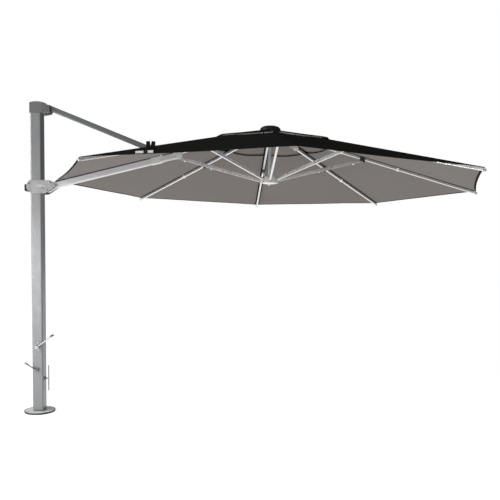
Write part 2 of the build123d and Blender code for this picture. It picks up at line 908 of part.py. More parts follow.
with BuildPart() as carriage_bolts:
    with BuildSketch(Plane.XZ):
        with Locations(*through_bolts):
            Circle(bolt_radius)
    extrude(amount=plate_front, both=True)
    with BuildSketch(Plane.XZ.offset(plate_back), Plane.XZ.offset(-plate_front)):
        with Locations((stop_screw_x, stop_screw_z)):
            Circle(bolt_radius)
    extrude(amount=carriage_plate)
    with BuildSketch(Plane.XZ.offset(plate_front), Plane.XZ.offset(-plate_front - bolt_head)):
        with Locations(*through_bolts, (stop_screw_x, stop_screw_z)):
            Circle(bolt_head_radius)
    extrude(amount=bolt_head)
carriage_bolts.part.label = "carriage_bolts"
export_step(carriage_bolts.part, "parts/carriage_bolts.step")

with BuildPart() as carriage_rollers:
    with BuildSketch(Plane.XZ):
        with Locations(*roller_axles):
            Circle(roller_radius)
            Circle(bolt_radius + running_gap, mode=Mode.SUBTRACT)
    extrude(amount=roller_half, both=True)
carriage_rollers.part.label = "carriage_rollers"
export_step(carriage_rollers.part, "parts/carriage_rollers.step")

with BuildPart() as carriage_grip:
    with BuildSketch(Plane.XZ):
        with Locations((-(grip_front + grip_back) / 2, (grip_bottom + grip_top) / 2)):
            RectangleRounded(grip_back - grip_front, grip_top - grip_bottom, mast_corner)
    extrude(amount=grip_half, both=True)
    with BuildSketch(Plane.XZ):
        with Locations((-(wing_front + wing_back) / 2, (wing_low + wing_high) / 2)):
            Rectangle(wing_back - wing_front, wing_high - wing_low)
    extrude(amount=plate_back, both=True)
carriage_grip.part.label = "carriage_grip"
export_step(carriage_grip.part, "parts/carriage_grip.step")

# ---------------------------------------------------------------- crown

corner_angles = [step * 360 // corner_count for step in range(corner_count)]
rib_angles = [angle for angle in corner_angles if angle != arm_angle]

with BuildPart() as crown_hub:
    with BuildSketch(Plane.XY.offset(crown_bottom)):
        with Locations((canopy_x, 0)):
            Circle(crown_radius)
            Circle(post_radius, mode=Mode.SUBTRACT)
    extrude(amount=crown_top - crown_bottom)
    with BuildSketch(Plane.XY.offset(post_top)):
        with Locations((canopy_x, 0)):
            Circle(post_radius)
    extrude(amount=crown_top - post_top)
    with BuildSketch(Plane.XY.offset(crown_bottom)):
        with Locations((canopy_x, 0)):
            with PolarLocations(crown_core + crown_radius / 2, corner_count):
                Rectangle(crown_radius, 2 * crown_slot_half)
    extrude(amount=crown_top - crown_bottom, mode=Mode.SUBTRACT)
    for angle in corner_angles:
        with BuildSketch(radial_plane(angle)):
            with Locations(crown_pivot(angle)):
                Circle(pin_radius)
        extrude(amount=2 * lug_width, both=True, mode=Mode.SUBTRACT)
crown_hub.part.label = "crown_hub"
export_step(crown_hub.part, "parts/crown_hub.step")

with BuildPart() as crown_pins:
    for angle in corner_angles:
        with BuildSketch(radial_plane(angle)):
            with Locations(crown_pivot(angle)):
                Circle(pin_radius)
        extrude(amount=1.5 * lug_width, both=True)
crown_pins.part.label = "crown_pins"
export_step(crown_pins.part, "parts/crown_pins.step")

knob_shoulder = (crown_radius - 3 * knob_skin, knob_top - 4 * knob_skin)

with BuildPart() as crown_knob:
    with BuildSketch(radial_plane(0)):
        with BuildLine():
            Line((0, crown_top), (knob_boss, crown_top))
            Line((knob_boss, crown_top), (knob_boss, knob_top - 2 * knob_skin))
            Line((knob_boss, knob_top - 2 * knob_skin), knob_shoulder)
            Line(knob_shoulder, (crown_radius - knob_skin, knob_bottom))
            Line((crown_radius - knob_skin, knob_bottom), (crown_radius, knob_bottom))
            Line((crown_radius, knob_bottom), (crown_radius, knob_bottom + 3 * knob_skin))
            ThreePointArc(
                (crown_radius, knob_bottom + 3 * knob_skin),
                (crown_radius - 3 * knob_skin, knob_top - knob_skin),
                (crown_radius / 2, knob_top),
            )
            Line((crown_radius / 2, knob_top), (0, knob_top))
            Line((0, knob_top), (0, crown_top))
        make_face()
    revolve(axis=Axis((canopy_x, 0, 0), (0, 0, 1)))
crown_knob.part.label = "crown_knob"
export_step(crown_knob.part, "parts/crown_knob.step")

with BuildPart() as centre_post:
    with BuildSketch(Plane.XY.offset(post_bottom)):
        with Locations((canopy_x, 0)):
            Circle(post_radius)
            Circle(post_radius - rib_wall, mode=Mode.SUBTRACT)
    extrude(amount=post_top - post_bottom)
centre_post.part.label = "centre_post"
export_step(centre_post.part, "parts/centre_post.step")

# ---------------------------------------------------------------- cloth


def hem_point(angle, radius):
    """Point of the cloth's outline in plan."""
    return (canopy_x + radius * cos(radians(angle)), radius * sin(radians(angle)))


hem_middle = corner_radius * cos(radians(180 / corner_count)) - hem_depth
half_step = 180 / corner_count

with BuildPart() as canopy:
    for radius in (corner_radius + hem_depth, crown_radius):
        with BuildSketch(Plane.XY.offset(roof_height(radius))):
            with Locations((canopy_x, 0)):
                RegularPolygon(radius, corner_count)
    loft(ruled=True)
    for radius in (corner_radius + 2 * hem_depth, crown_radius):
        with BuildSketch(Plane.XY.offset(roof_height(radius) - cloth_drop)):
            with Locations((canopy_x, 0)):
                RegularPolygon(radius, corner_count)
    loft(ruled=True, mode=Mode.SUBTRACT)
    # Hollowed hems between the corners
    with BuildSketch(Plane.XY):
        with BuildLine():
            for angle in corner_angles:
                ThreePointArc(
                    hem_point(angle, corner_radius),
                    hem_point(angle + half_step, hem_middle),
                    hem_point(angle + 2 * half_step, corner_radius),
                )
        make_face()
        # Vent opening, and the slot that the arm's lug comes through
        with Locations((canopy_x, 0)):
            Circle(vent_opening, mode=Mode.SUBTRACT)
        with Locations((elbow_x, 0)):
            SlotOverall(6 * fork_radius, strut_width, mode=Mode.SUBTRACT)
    extrude(amount=apex_z, mode=Mode.INTERSECT)
canopy.part.label = "canopy"
export_step(canopy.part, "parts/canopy.step")


def vent_height(radius):
    """Height of the vent cap's top line above a rib."""
    return vent_apex_z - vent_slope * radius


with BuildPart() as vent_cap:
    for radius in (vent_radius, vent_hole):
        with BuildSketch(Plane.XY.offset(vent_height(radius))):
            with Locations((canopy_x, 0)):
                RegularPolygon(radius, corner_count)
    loft(ruled=True)
    for radius in (vent_radius + knob_skin, vent_hole - knob_skin):
        with BuildSketch(Plane.XY.offset(vent_height(radius) - cloth_drop)):
            with Locations((canopy_x, 0)):
                RegularPolygon(radius, corner_count)
    loft(ruled=True, mode=Mode.SUBTRACT)
    with BuildSketch(Plane.XY.offset(knob_bottom)):
        with Locations((canopy_x, 0)):
            Circle(vent_hole)
    extrude(amount=knob_top - knob_bottom, mode=Mode.SUBTRACT)
vent_cap.part.label = "vent_cap"
export_step(vent_cap.part, "parts/vent_cap.step")

# ---------------------------------------------------------------- ribs


def make_rib(angle, label):
    """One rib's tube."""
    with BuildPart() as rib:
        with BuildSketch(rib_section(angle, rib_start, rib_drop)):
            RectangleRounded(rib_width, rib_depth, rib_corner)
            RectangleRounded(
                rib_width - 2 * rib_wall,
                rib_depth - 2 * rib_wall,
                rib_corner - rib_wall,
                mode=Mode.SUBTRACT,
            )
        extrude(amount=along_rib(rib_start, rib_end))
    rib.part.label = label
    export_step(rib.part, f"parts/{label}.step")


def make_fittings(angle, label):
    """A rib's root lug, stretcher bracket with its pin, cloth clip and tip cap."""
    plane = radial_plane(angle)
    with BuildPart() as fittings:
        with BuildSketch(plane):
            Polygon(
                *sloped_band(
                    rib_pin_radius_out - bracket_half,
                    rib_pin_radius_out + bracket_half,
                    rib_drop - rib_depth / 3,
                    rib_drop + rib_depth + 2 * rib_wall,
                ),
                align=None,
            )
            Polygon(
                *sloped_band(
                    clip_radius - clip_half,
                    clip_radius + clip_half,
                    rib_drop - rib_depth / 3,
                    rib_drop + rib_depth / 2 + 2 * rib_wall,
                ),
                align=None,
            )
        extrude(amount=bracket_width / 2, both=True)
        with BuildSketch(rib_section(angle, rib_start, rib_drop)):
            RectangleRounded(rib_width, rib_depth, rib_corner)
        extrude(amount=along_rib(rib_start, rib_end), mode=Mode.SUBTRACT)
        with BuildSketch(plane):
            Polygon(
                *sloped_band(
                    rib_pin_radius_out - 2 * bracket_half,
                    rib_pin_radius_out + 2 * bracket_half,
                    rib_drop,
                    3 * rib_depth,
                ),
                align=None,
            )
        extrude(amount=bracket_slot, both=True, mode=Mode.SUBTRACT)
        with BuildSketch(plane):
            Polygon(*root_lug(angle), align=None)
            with Locations(crown_pivot(angle)):
                Circle(lug_radius)
                Circle(pin_radius + running_gap, mode=Mode.SUBTRACT)
        extrude(amount=lug_width / 2, both=True)
        with BuildSketch(rib_section(angle, rib_end, rib_drop + tip_sink)):
            RectangleRounded(rib_width, rib_width, tip_corner)
        extrude(amount=tip_length)
        with BuildSketch(plane):
            with Locations(stretcher_pin(angle)):
                Circle(pin_radius)
        extrude(amount=bracket_width / 2, both=True)
    fittings.part.label = label
    export_step(fittings.part, f"parts/{label}.step")


def stretcher_outline(skin):
    """Side view of a stretcher's raised back along its own line, this far inside its skin."""
    edge = stretcher_end - skin
    back = stretcher_back - skin
    return [
        (stretcher_taper, -edge),
        (stretcher_taper, edge),
        (stretcher_full, back),
        (stretcher_reach - stretcher_full, back),
        (stretcher_reach - stretcher_taper, edge),
        (stretcher_reach - stretcher_taper, -edge),
    ]


def make_stretcher(angle, label):
    """One stretcher, from its lower hub pivot up to the pin under its rib."""
    low_r, low_z = hub_pivot(angle)
    high_r, high_z = stretcher_pin(angle)
    upright = radial_plane(angle)
    start = upright.from_local_coords((low_r, low_z))
    end = upright.from_local_coords((high_r, high_z))
    side_on = Plane(origin=start, x_dir=end - start, z_dir=upright.z_dir)
    with BuildPart() as stretcher:
        with BuildSketch(side_on):
            with Locations((stretcher_reach / 2, 0)):
                SlotCenterToCenter(stretcher_reach, 2 * stretcher_end)
            Polygon(*stretcher_outline(0), align=None)
            with Locations((0, 0), (stretcher_reach, 0)):
                Circle(pin_radius + running_gap, mode=Mode.SUBTRACT)
        extrude(amount=stretcher_width / 2, both=True)
        with BuildSketch(side_on):
            Polygon(*stretcher_outline(stretcher_skin), align=None)
        extrude(amount=stretcher_width / 2 - stretcher_skin, both=True, mode=Mode.SUBTRACT)
    stretcher.part.label = label
    export_step(stretcher.part, f"parts/{label}.step")


for angle in rib_angles:
    make_rib(angle, f"rib_{angle:03d}")
    make_fittings(angle, f"rib_{angle:03d}_fittings")
    make_stretcher(angle, f"stretcher_{angle:03d}")
make_stretcher(arm_angle, "stretcher_arm")

# ---------------------------------------------------------------- lower hub

with BuildPart() as lower_hub:
    with BuildSketch(Plane.XY.offset(hub_bottom)):
        with Locations((canopy_x, 0)):
            Circle(hub_radius)
            with PolarLocations(hub_core + hub_radius / 2, corner_count):
                Rectangle(hub_radius, 2 * hub_slot_half, mode=Mode.SUBTRACT)
    extrude(amount=hub_top - hub_bottom)
    with BuildSketch(Plane.XY.offset(hub_bore_bottom)):
        with Locations((canopy_x, 0)):
            Circle(hub_bore)
    extrude(amount=hub_top - hub_bore_bottom, mode=Mode.SUBTRACT)
    for angle in corner_angles:
        with BuildSketch(radial_plane(angle)):
            with Locations(hub_pivot(angle)):
                Circle(pin_radius)
        extrude(amount=2 * lug_width, both=True, mode=Mode.SUBTRACT)
lower_hub.part.label = "lower_hub"
export_step(lower_hub.part, "parts/lower_hub.step")

with BuildPart() as hub_pins:
    for angle in corner_angles:
        with BuildSketch(radial_plane(angle)):
            with Locations(hub_pivot(angle)):
                Circle(pin_radius)
        extrude(amount=1.5 * lug_width, both=True)
hub_pins.part.label = "hub_pins"
export_step(hub_pins.part, "parts/hub_pins.step")

with BuildPart() as hub_finial:
    with BuildSketch(Plane.XY.offset(hub_bottom - ring_thickness)):
        with Locations((canopy_x, 0)):
            Circle(ring_outer)
    extrude(amount=ring_thickness)
    loop_centre = hub_bottom - ring_thickness - loop_radius + loop_wire / 2
    with BuildSketch(Plane.XY.offset(loop_centre)):
        with Locations((canopy_x + loop_radius, 0)):
            Circle(loop_wire)
    revolve(axis=Axis((canopy_x, 0, loop_centre), (0, 1, 0)))
hub_finial.part.label = "hub_finial"
export_step(hub_finial.part, "parts/hub_finial.step")
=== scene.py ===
import math

import bpy
import numpy as np
from mathutils import Matrix, Vector, noise


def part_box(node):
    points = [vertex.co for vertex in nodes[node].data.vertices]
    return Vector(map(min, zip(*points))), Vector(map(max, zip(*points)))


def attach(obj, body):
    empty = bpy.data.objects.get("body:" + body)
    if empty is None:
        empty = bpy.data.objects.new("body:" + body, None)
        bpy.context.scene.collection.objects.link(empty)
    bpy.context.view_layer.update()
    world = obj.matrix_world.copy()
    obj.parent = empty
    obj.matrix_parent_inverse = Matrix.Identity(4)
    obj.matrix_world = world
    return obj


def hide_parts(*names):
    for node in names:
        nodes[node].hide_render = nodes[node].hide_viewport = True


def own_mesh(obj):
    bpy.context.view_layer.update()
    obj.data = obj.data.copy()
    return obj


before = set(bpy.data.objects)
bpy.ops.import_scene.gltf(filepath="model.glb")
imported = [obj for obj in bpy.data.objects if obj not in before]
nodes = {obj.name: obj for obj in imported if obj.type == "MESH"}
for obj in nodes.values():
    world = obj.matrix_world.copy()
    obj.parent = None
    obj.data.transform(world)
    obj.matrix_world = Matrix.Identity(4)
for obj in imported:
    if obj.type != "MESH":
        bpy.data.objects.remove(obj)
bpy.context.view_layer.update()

# The part's frame: metres, origin under the floor plate, +Z up the mast, +X towards the canopy
CANOPY_X = 2.15
CORNERS = 8
HALF = math.pi / CORNERS
SIN, COS = math.sin(HALF), math.cos(HALF)
ARM_ANGLE = 180
ANGLES = [step * 360 // CORNERS for step in range(CORNERS)]
PIVOT_RADIUS = 0.074
PIVOT_Z = 2.635
STRETCHER_PIN_RADIUS, STRETCHER_PIN_Z = 0.880, 2.428
HUB_PIVOT_Z = 2 * STRETCHER_PIN_Z - PIVOT_Z
ARM_DROP = 0.012

# Cloth, along the ribs: height at the axis, fall per metre and the radii of its edges
ROOF_Z, ROOF_SLOPE = 2.703, 0.268
VENT_Z, VENT_SLOPE = 2.700, 0.241
HEM_RADIUS, HEM_HOLLOW = 1.996, 0.020
OPENING_RADIUS = 0.553
VENT_RADIUS, VENT_HOLLOW = 0.650, 0.004
VENT_LIFT, VENT_TUCK = 0.004, 0.055
VENT_BORDER = 0.03
VENT_SPLIT = 0.100
COLLAR_RADIUS, COLLAR_HOLE = 0.110, 0.034
COLLAR_RINGS, COLLAR_RISE, COLLAR_SEGMENTS = (0.07, 0.1), 0.0022, 64
CLOTH = 0.0011
HEM_WIDTH, HEM_EXTRA = 0.020, 0.0009
BINDING_SHARE = 0.45
SEAM_HALF, SEAM_EXTRA = 0.006, 0.0007
# Half-width of the black band along each rib on the inside of the cloth
RIB_BAND_HALF = 0.025
ROOF_SAG, VENT_SAG = 0.006, 0.005
SLOT_CENTRE, SLOT_HALF_LENGTH, SLOT_HALF_WIDTH = 1.060, 0.050, 0.020

# Mast and fittings
WINCH_X, FOLD_X, FOLD_Z = 0.007, -0.002, 0.407
WINCH_SCREW_HEIGHTS = (0.667, 0.596)
FOLD_SCREW_APART = 0.019
MAST_FACE = -0.055
PLATE_FACE = -0.0625
ROOF_TURN = math.atan(ROOF_SLOPE)
STRUT_TURN = math.radians(20.67)


# ------------------------------------------------------------------ materials


class Shading:
    """A node material being built round its principled shader."""

    def __init__(self, name, colour, roughness, metallic=0.0):
        self.material = bpy.data.materials.new(name)
        self.material.use_nodes = True
        self.material.diffuse_color = (*colour, 1)
        self.tree = self.material.node_tree
        self.shader = self.tree.nodes["Principled BSDF"]
        self.shader.inputs["Metallic"].default_value = metallic
        self.colour = colour
        self.roughness = roughness
        self.place = self.node("TexCoord").outputs["Object"]
        self.normal = None

    def node(self, kind, **settings):
        made = self.tree.nodes.new("ShaderNode" + kind)
        for key, value in settings.items():
            setattr(made, key, value)
        return made

    def link(self, source, target):
        self.tree.links.new(source, target)

    def feed(self, target, value):
        """Sets an input, from a socket or from a plain value."""
        if isinstance(value, bpy.types.NodeSocket):
            self.link(value, target)
        else:
            target.default_value = value

    def math(self, operation, first, second=0.0, clamp=False):
        made = self.node("Math", operation=operation, use_clamp=clamp)
        self.feed(made.inputs[0], first)
        self.feed(made.inputs[1], second)
        return made.outputs[0]

    def noise(self, scale, detail=3.0, place=None, rough=0.5):
        made = self.node("TexNoise")
        self.link(place or self.place, made.inputs["Vector"])
        made.inputs["Scale"].default_value = scale
        made.inputs["Detail"].default_value = detail
        made.inputs["Roughness"].default_value = rough
        return made.outputs["Fac"]

    def ramp(self, value, low, high, start=0.0, end=1.0):
        """Maps a value's low..high on to start..end."""
        made = self.node("MapRange")
        self.link(value, made.inputs["Value"])
        ends = zip(("From Min", "From Max", "To Min", "To Max"), (low, high, start, end))
        for key, number in ends:
            made.inputs[key].default_value = number
        return made.outputs["Result"]

    def mix(self, share, first, second):
        made = self.node("Mix", data_type="RGBA")
        self.feed(made.inputs[0], share)
        for place, value in ((6, first), (7, second)):
            self.feed(made.inputs[place], (*value, 1) if isinstance(value, tuple) else value)
        return made.outputs[2]

    def stretched(self, direction, squeeze):
        """Coordinates drawn out along a direction, for grain that runs that way."""
        along = self.node("VectorMath", operation="DOT_PRODUCT")
        self.link(self.place, along.inputs[0])
        along.inputs[1].default_value = direction
        part = self.node("VectorMath", operation="SCALE")
        part.inputs[0].default_value = direction
        self.link(self.math("MULTIPLY", along.outputs["Value"], squeeze), part.inputs["Scale"])
        rest = self.node("VectorMath", operation="SUBTRACT")
        self.link(self.place, rest.inputs[0])
        self.link(part.outputs[0], rest.inputs[1])
        return rest.outputs[0]

    def bump(self, height, distance, strength=1.0):
        made = self.node("Bump")
        self.link(height, made.inputs["Height"])
        made.inputs["Distance"].default_value = distance
        made.inputs["Strength"].default_value = strength
        if self.normal:
            self.link(self.normal, made.inputs["Normal"])
        self.normal = made.outputs["Normal"]

    def vary(self, value, spread, low=0.3, high=0.7):
        """Lets the colour drift either side of its mean with a value."""
        darker = tuple(c * (1 - spread) for c in self.colour)
        lighter = tuple(min(1.0, c * (1 + spread)) for c in self.colour)
        self.feed(
            self.shader.inputs["Base Color"],
            self.mix(self.ramp(value, low, high), darker, lighter),
        )

    def rough(self, value, spread):
        low, high = self.roughness - spread, self.roughness + spread
        self.link(self.ramp(value, 0.3, 0.7, low, high), self.shader.inputs["Roughness"])

    def done(self, **plain):
        for key, value in plain.items():
            self.shader.inputs[key.replace("_", " ")].default_value = value
        if self.normal:
            self.link(self.normal, self.shader.inputs["Normal"])
        return self.material


def extruded(name, colour, direction, roughness=0.36, metallic=0.75):
    """Satin powder coat over an extruded section, with faint draw lines along it."""
    s = Shading(name, colour, roughness, metallic)
    lines = s.noise(420, 2, s.stretched(direction, 0.995))
    clouds = s.noise(3.5, 4)
    s.vary(s.math("ADD", s.math("MULTIPLY", lines, 0.4), s.math("MULTIPLY", clouds, 0.6)), 0.07)
    s.rough(s.noise(24, 4), 0.07)
    s.bump(lines, 0.00003, 0.15)
    s.bump(s.noise(700, 2), 0.00002, 0.15)
    return s.done()


def cast(name, colour, roughness=0.45, metallic=0.5):
    """Painted casting with a fine orange peel."""
    s = Shading(name, colour, roughness, metallic)
    s.vary(s.noise(14, 5), 0.08)
    s.rough(s.noise(40, 3), 0.08)
    s.bump(s.noise(260, 3), 0.0004, 0.6)
    s.bump(s.noise(1600, 2), 0.0001, 0.5)
    return s.done()


def moulded(name, colour, roughness=0.5):
    """Moulded plastic with a spark-eroded grain and handling marks."""
    s = Shading(name, colour, roughness)
    s.vary(s.noise(9, 4), 0.14)
    s.rough(s.noise(30, 5, rough=0.7), 0.1)
    s.bump(s.noise(900, 2), 0.00015, 0.7)
    return s.done(Specular_IOR_Level=0.25)


def turned(name, colour, roughness=0.28):
    """Bright steel with fine turning marks and light scuffs."""
    s = Shading(name, colour, roughness, 1.0)
    scuffs = s.noise(70, 6, rough=0.75)
    s.vary(scuffs, 0.08)
    s.rough(scuffs, 0.1)
    s.bump(s.noise(700, 2), 0.00005, 0.5)
    return s.done()


PLATE_SHADE_RADIUS, TURNING_RINGS = 0.1315, 4200.0


def polished_plate(name, colour):
    """Floor plate: rings left by turning, scuffed by feet, with painted shade that darkens its rim.
    """
    s = Shading(name, colour, 0.35, 0.1)
    split = s.node("SeparateXYZ")
    s.link(s.place, split.inputs[0])
    square = s.math(
        "ADD",
        s.math("POWER", s.math("ABSOLUTE", split.outputs[0]), 2.0),
        s.math("POWER", s.math("ABSOLUTE", split.outputs[1]), 2.0),
    )
    radius = s.math("SQRT", square)
    rings = s.math("SINE", s.math("MULTIPLY", radius, TURNING_RINGS))
    scuffs = s.noise(38, 6, rough=0.75)
    s.vary(scuffs, 0.05)
    base = s.shader.inputs["Base Color"].links[0].from_socket
    # Painted shade: near the plate's edge the colour drops to 3 %, standing in for the shade there.
    rim = s.math("GREATER_THAN", radius, PLATE_SHADE_RADIUS)
    s.link(s.mix(rim, base, tuple(0.03 * c for c in colour)), s.shader.inputs["Base Color"])
    s.rough(scuffs, 0.13)
    s.bump(rings, 0.00004, 0.6)
    return s.done()


def woven(name, colour, thread=0.0011, sheen=0.15, drift=0.10, stitched=False, shine=0.3):
    """Woven cloth: threads by the piece's own UVs, soft colour drift and sewn lines."""
    s = Shading(name, colour, 0.82)
    split = s.node("SeparateXYZ")
    s.link(s.node("UVMap", uv_map="weave").outputs[0], split.inputs[0])
    turns = 2 * math.pi / thread
    warp = s.math("SINE", s.math("MULTIPLY", split.outputs[0], turns))
    weft = s.math("SINE", s.math("MULTIPLY", split.outputs[1], turns))
    threads = s.math("MULTIPLY", warp, weft)
    slubs = s.noise(160, 3, s.stretched((0.0, 0.0, 1.0), 0.8))
    clouds = s.noise(2.2, 5, rough=0.6)
    s.vary(s.math("ADD", s.math("MULTIPLY", slubs, 0.35), s.math("MULTIPLY", clouds, 0.65)), drift)
    s.rough(clouds, 0.06)
    s.bump(clouds, 0.004, 0.35)
    s.bump(threads, 0.00012, 0.6)
    if stitched:
        stitch = stitches(s, split.outputs[0], split.outputs[1])
        base = s.shader.inputs["Base Color"].links[0].from_socket
        lighter = tuple(1.6 * c + 0.003 for c in colour)
        s.link(s.mix(stitch, base, lighter), s.shader.inputs["Base Color"])
        s.bump(stitch, 0.0006, 0.8)
    return s.done(Sheen_Weight=sheen, Sheen_Roughness=0.45, Specular_IOR_Level=shine)


def stitches(s, across, along):
    """1 on the thread of the lines sewn beside the rib seam and inside the hem."""
    edge = s.node("SeparateXYZ")
    s.link(s.node("UVMap", uv_map="edge").outputs[0], edge.inputs[0])

    def line(distance, offset, run):
        near = s.math("ABSOLUTE", s.math("SUBTRACT", distance, offset))
        inside = s.math("LESS_THAN", near, 0.0006)
        dash = s.math("LESS_THAN", s.math("FRACT", s.math("MULTIPLY", run, 220.0)), 0.62)
        return s.math("MULTIPLY", inside, dash)

    seam = line(s.math("ABSOLUTE", across), SEAM_HALF - 0.002, along)
    hem = line(edge.outputs[1], HEM_WIDTH - 0.004, edge.outputs[0])
    return s.math("MAXIMUM", seam, hem)


UP = (0.0, 0.0, 1.0)


def rib_direction(angle):
    turn = math.radians(angle)
    return (
        math.cos(turn) * math.cos(ROOF_TURN),
        math.sin(turn) * math.cos(ROOF_TURN),
        -math.sin(ROOF_TURN),
    )


def stretcher_lean():
    return math.atan2(STRETCHER_PIN_Z - HUB_PIVOT_Z, STRETCHER_PIN_RADIUS - PIVOT_RADIUS)


def stretcher_direction(angle):
    turn, lean = math.radians(angle), stretcher_lean()
    return (math.cos(turn) * math.cos(lean), math.sin(turn) * math.cos(lean), math.sin(lean))


FRAME_METAL = (0.74, 0.745, 0.75)
mast_paint = extruded("mast_coat", (0.225, 0.228, 0.233), UP, roughness=0.36, metallic=0.5)
strut_paint = extruded(
    "strut_coat",
    (0.15, 0.153, 0.157),
    (math.cos(STRUT_TURN), 0.0, -math.sin(STRUT_TURN)),
    metallic=0.5,
)
cast_paint = cast("cast_coat", (0.13, 0.131, 0.133), metallic=0.4)
carriage_paint = cast("carriage_coat", (0.30, 0.303, 0.30), roughness=0.38, metallic=0.6)
block_paint = cast("block_coat", (0.62, 0.62, 0.62), roughness=0.4, metallic=0.3)
plastic_black = moulded("plastic_black", (0.006, 0.006, 0.0065))
plastic_grey = moulded("plastic_grey", (0.46, 0.46, 0.455))
plastic_pale = moulded("plastic_pale", (0.80, 0.79, 0.77), 0.42)
plastic_tip = moulded("plastic_tip", (0.36, 0.37, 0.39), 0.42)
plastic_mid = moulded("plastic_mid", (0.24, 0.24, 0.245), 0.45)
plastic_smoke = moulded("plastic_smoke", (0.035, 0.034, 0.033))
steel_bright = turned("steel_bright", (0.66, 0.66, 0.67))
steel_dark = turned("steel_dark", (0.16, 0.16, 0.165), 0.38)
steel_satin = turned("steel_satin", (0.40, 0.40, 0.405), 0.42)
steel_plate = polished_plate("steel_plate", (0.90, 0.91, 0.89))
fork_paint = cast("fork_coat", (0.03, 0.03, 0.032), 0.42, 0.3)
cloth_outside = woven(
    "cloth_outside", (0.0200, 0.0193, 0.0186), sheen=0.0, stitched=True, shine=0.0
)
cloth_inside = woven("cloth_inside", (0.150, 0.136, 0.126), sheen=0.05, drift=0.06, shine=0.1)
webbing = woven("webbing_black", (0.010, 0.010, 0.011), thread=0.0022, sheen=0.05, shine=0.1)
tab_pale = woven("tab_pale", (0.62, 0.62, 0.62), thread=0.0022)


def rib_metal(name, direction):
    """Bright drawn aluminium of the folding frame."""
    return extruded(name, FRAME_METAL, direction, roughness=0.30, metallic=0.85)


def finish_node(name, *materials):
    data = nodes[name].data
    data.materials.clear()
    for material in materials:
        data.materials.append(material)


def round_edges(name, width):
    """A small rounding on a CAD node's sharp edges, as a modifier."""
    bevel = nodes[name].modifiers.new("edges", "BEVEL")
    bevel.width = width
    bevel.segments = 2
    bevel.limit_method = "ANGLE"
    bevel.angle_limit = math.radians(50)
    bevel.use_clamp_overlap = True
    bevel.harden_normals = False


NODE_FINISHES = {
    "base_plate": steel_plate,
    "spindle": steel_dark,
    "swivel_washer": plastic_black,
    "mast_tube": mast_paint,
    "spindle_bushes": plastic_black,
    "head_casting": cast_paint,
    "head_pins": steel_dark,
    "rope_sheave": plastic_grey,
    "winch_plates": mast_paint,
    "winch_crank": steel_satin,
    "winch_grip": plastic_mid,
    "winch_drum": steel_dark,
    "fold_crank": steel_dark,
    "fold_grip": plastic_mid,
    "fold_drum": steel_dark,
    "brake_handle": steel_satin,
    "strut_tube": strut_paint,
    "strut_head": strut_paint,
    "strut_fork": fork_paint,
    "arm_tube": extruded(
        "arm_coat", (0.60, 0.60, 0.61), rib_direction(ARM_ANGLE), metallic=0.35
    ),
    "arm_root": block_paint,
    "arm_collar": block_paint,
    "arm_pins": steel_bright,
    "arm_block": block_paint,
    "arm_rib": rib_metal("arm_rib_coat", rib_direction(ARM_ANGLE)),
    "carriage_plates": carriage_paint,
    "carriage_bolts": steel_bright,
    "carriage_rollers": plastic_black,
    "carriage_grip": plastic_black,
    "crown_hub": plastic_grey,
    "crown_pins": steel_bright,
    "crown_knob": plastic_black,
    "centre_post": rib_metal("post_coat", UP),
    "lower_hub": plastic_grey,
    "hub_pins": steel_bright,
    "hub_finial": plastic_pale,
    "stretcher_arm": rib_metal("stretcher_arm_coat", stretcher_direction(ARM_ANGLE)),
}
for name, finish in NODE_FINISHES.items():
    finish_node(name, finish)


def loose_parts(mesh):
    """Polygon indices of each connected part, found by walking shared corners."""
    owner = list(range(len(mesh.vertices)))
    seen = {}
    for vertex in mesh.vertices:
        key = tuple(round(c, 5) for c in vertex.co)
        owner[vertex.index] = seen.setdefault(key, vertex.index)

    def top(i):
        while owner[i] != i:
            owner[i] = owner[owner[i]]
            i = owner[i]
        return i

    for polygon in mesh.polygons:
        first = top(polygon.vertices[0])
        for other in polygon.vertices[1:]:
            owner[top(other)] = first
    parts = {}
    for polygon in mesh.polygons:
        parts.setdefault(top(polygon.vertices[0]), []).append(polygon.index)
    return list(parts.values())


CLIP_FROM, TIP_FROM = 1.1, 1.9


def paint_fittings(name):
    """Root lug and bracket dark, cloth clip and tip cap pale, by distance from the axis."""
    finish_node(name, plastic_smoke, plastic_pale, plastic_tip)
    mesh = nodes[name].data
    for part in loose_parts(mesh):
        points = [mesh.vertices[v].co for p in part for v in mesh.polygons[p].vertices]
        reach = sum(math.hypot(p.x - CANOPY_X, p.y) for p in points) / len(points)
        for p in part:
            mesh.polygons[p].material_index = int(reach > CLIP_FROM) + int(reach > TIP_FROM)


for angle in ANGLES:
    if angle == ARM_ANGLE:
        continue
    tag = f"{angle:03d}"
    finish_node("rib_" + tag, rib_metal("rib_coat_" + tag, rib_direction(angle)))
    finish_node(
        "stretcher_" + tag, rib_metal("stretcher_coat_" + tag, stretcher_direction(angle))
    )
    paint_fittings(f"rib_{tag}_fittings")

for name in ("mast_tube", "strut_tube", "arm_collar", "arm_block", "carriage_plates"):
    round_edges(name, 0.0008)
for name in ("head_casting", "strut_head", "arm_root", "carriage_grip"):
    round_edges(name, 0.002)


# ------------------------------------------------------------------ mesh helpers


def mesh_object(name, vertices, faces, materials, indices=None, smooth=True):
    mesh = bpy.data.meshes.new(name)
    mesh.from_pydata([tuple(v) for v in vertices], [], faces)
    for material in materials:
        mesh.materials.append(material)
    if indices is not None:
        mesh.polygons.foreach_set("material_index", indices)
    mesh.polygons.foreach_set("use_smooth", [smooth] * len(mesh.polygons))
    mesh.update()
    made = bpy.data.objects.new(name, mesh)
    bpy.context.scene.collection.objects.link(made)
    return made


def axes_for(normal):
    """Two directions square to a normal."""
    normal = Vector(normal).normalized()
    first = normal.orthogonal().normalized()
    return first, normal.cross(first).normalized(), normal


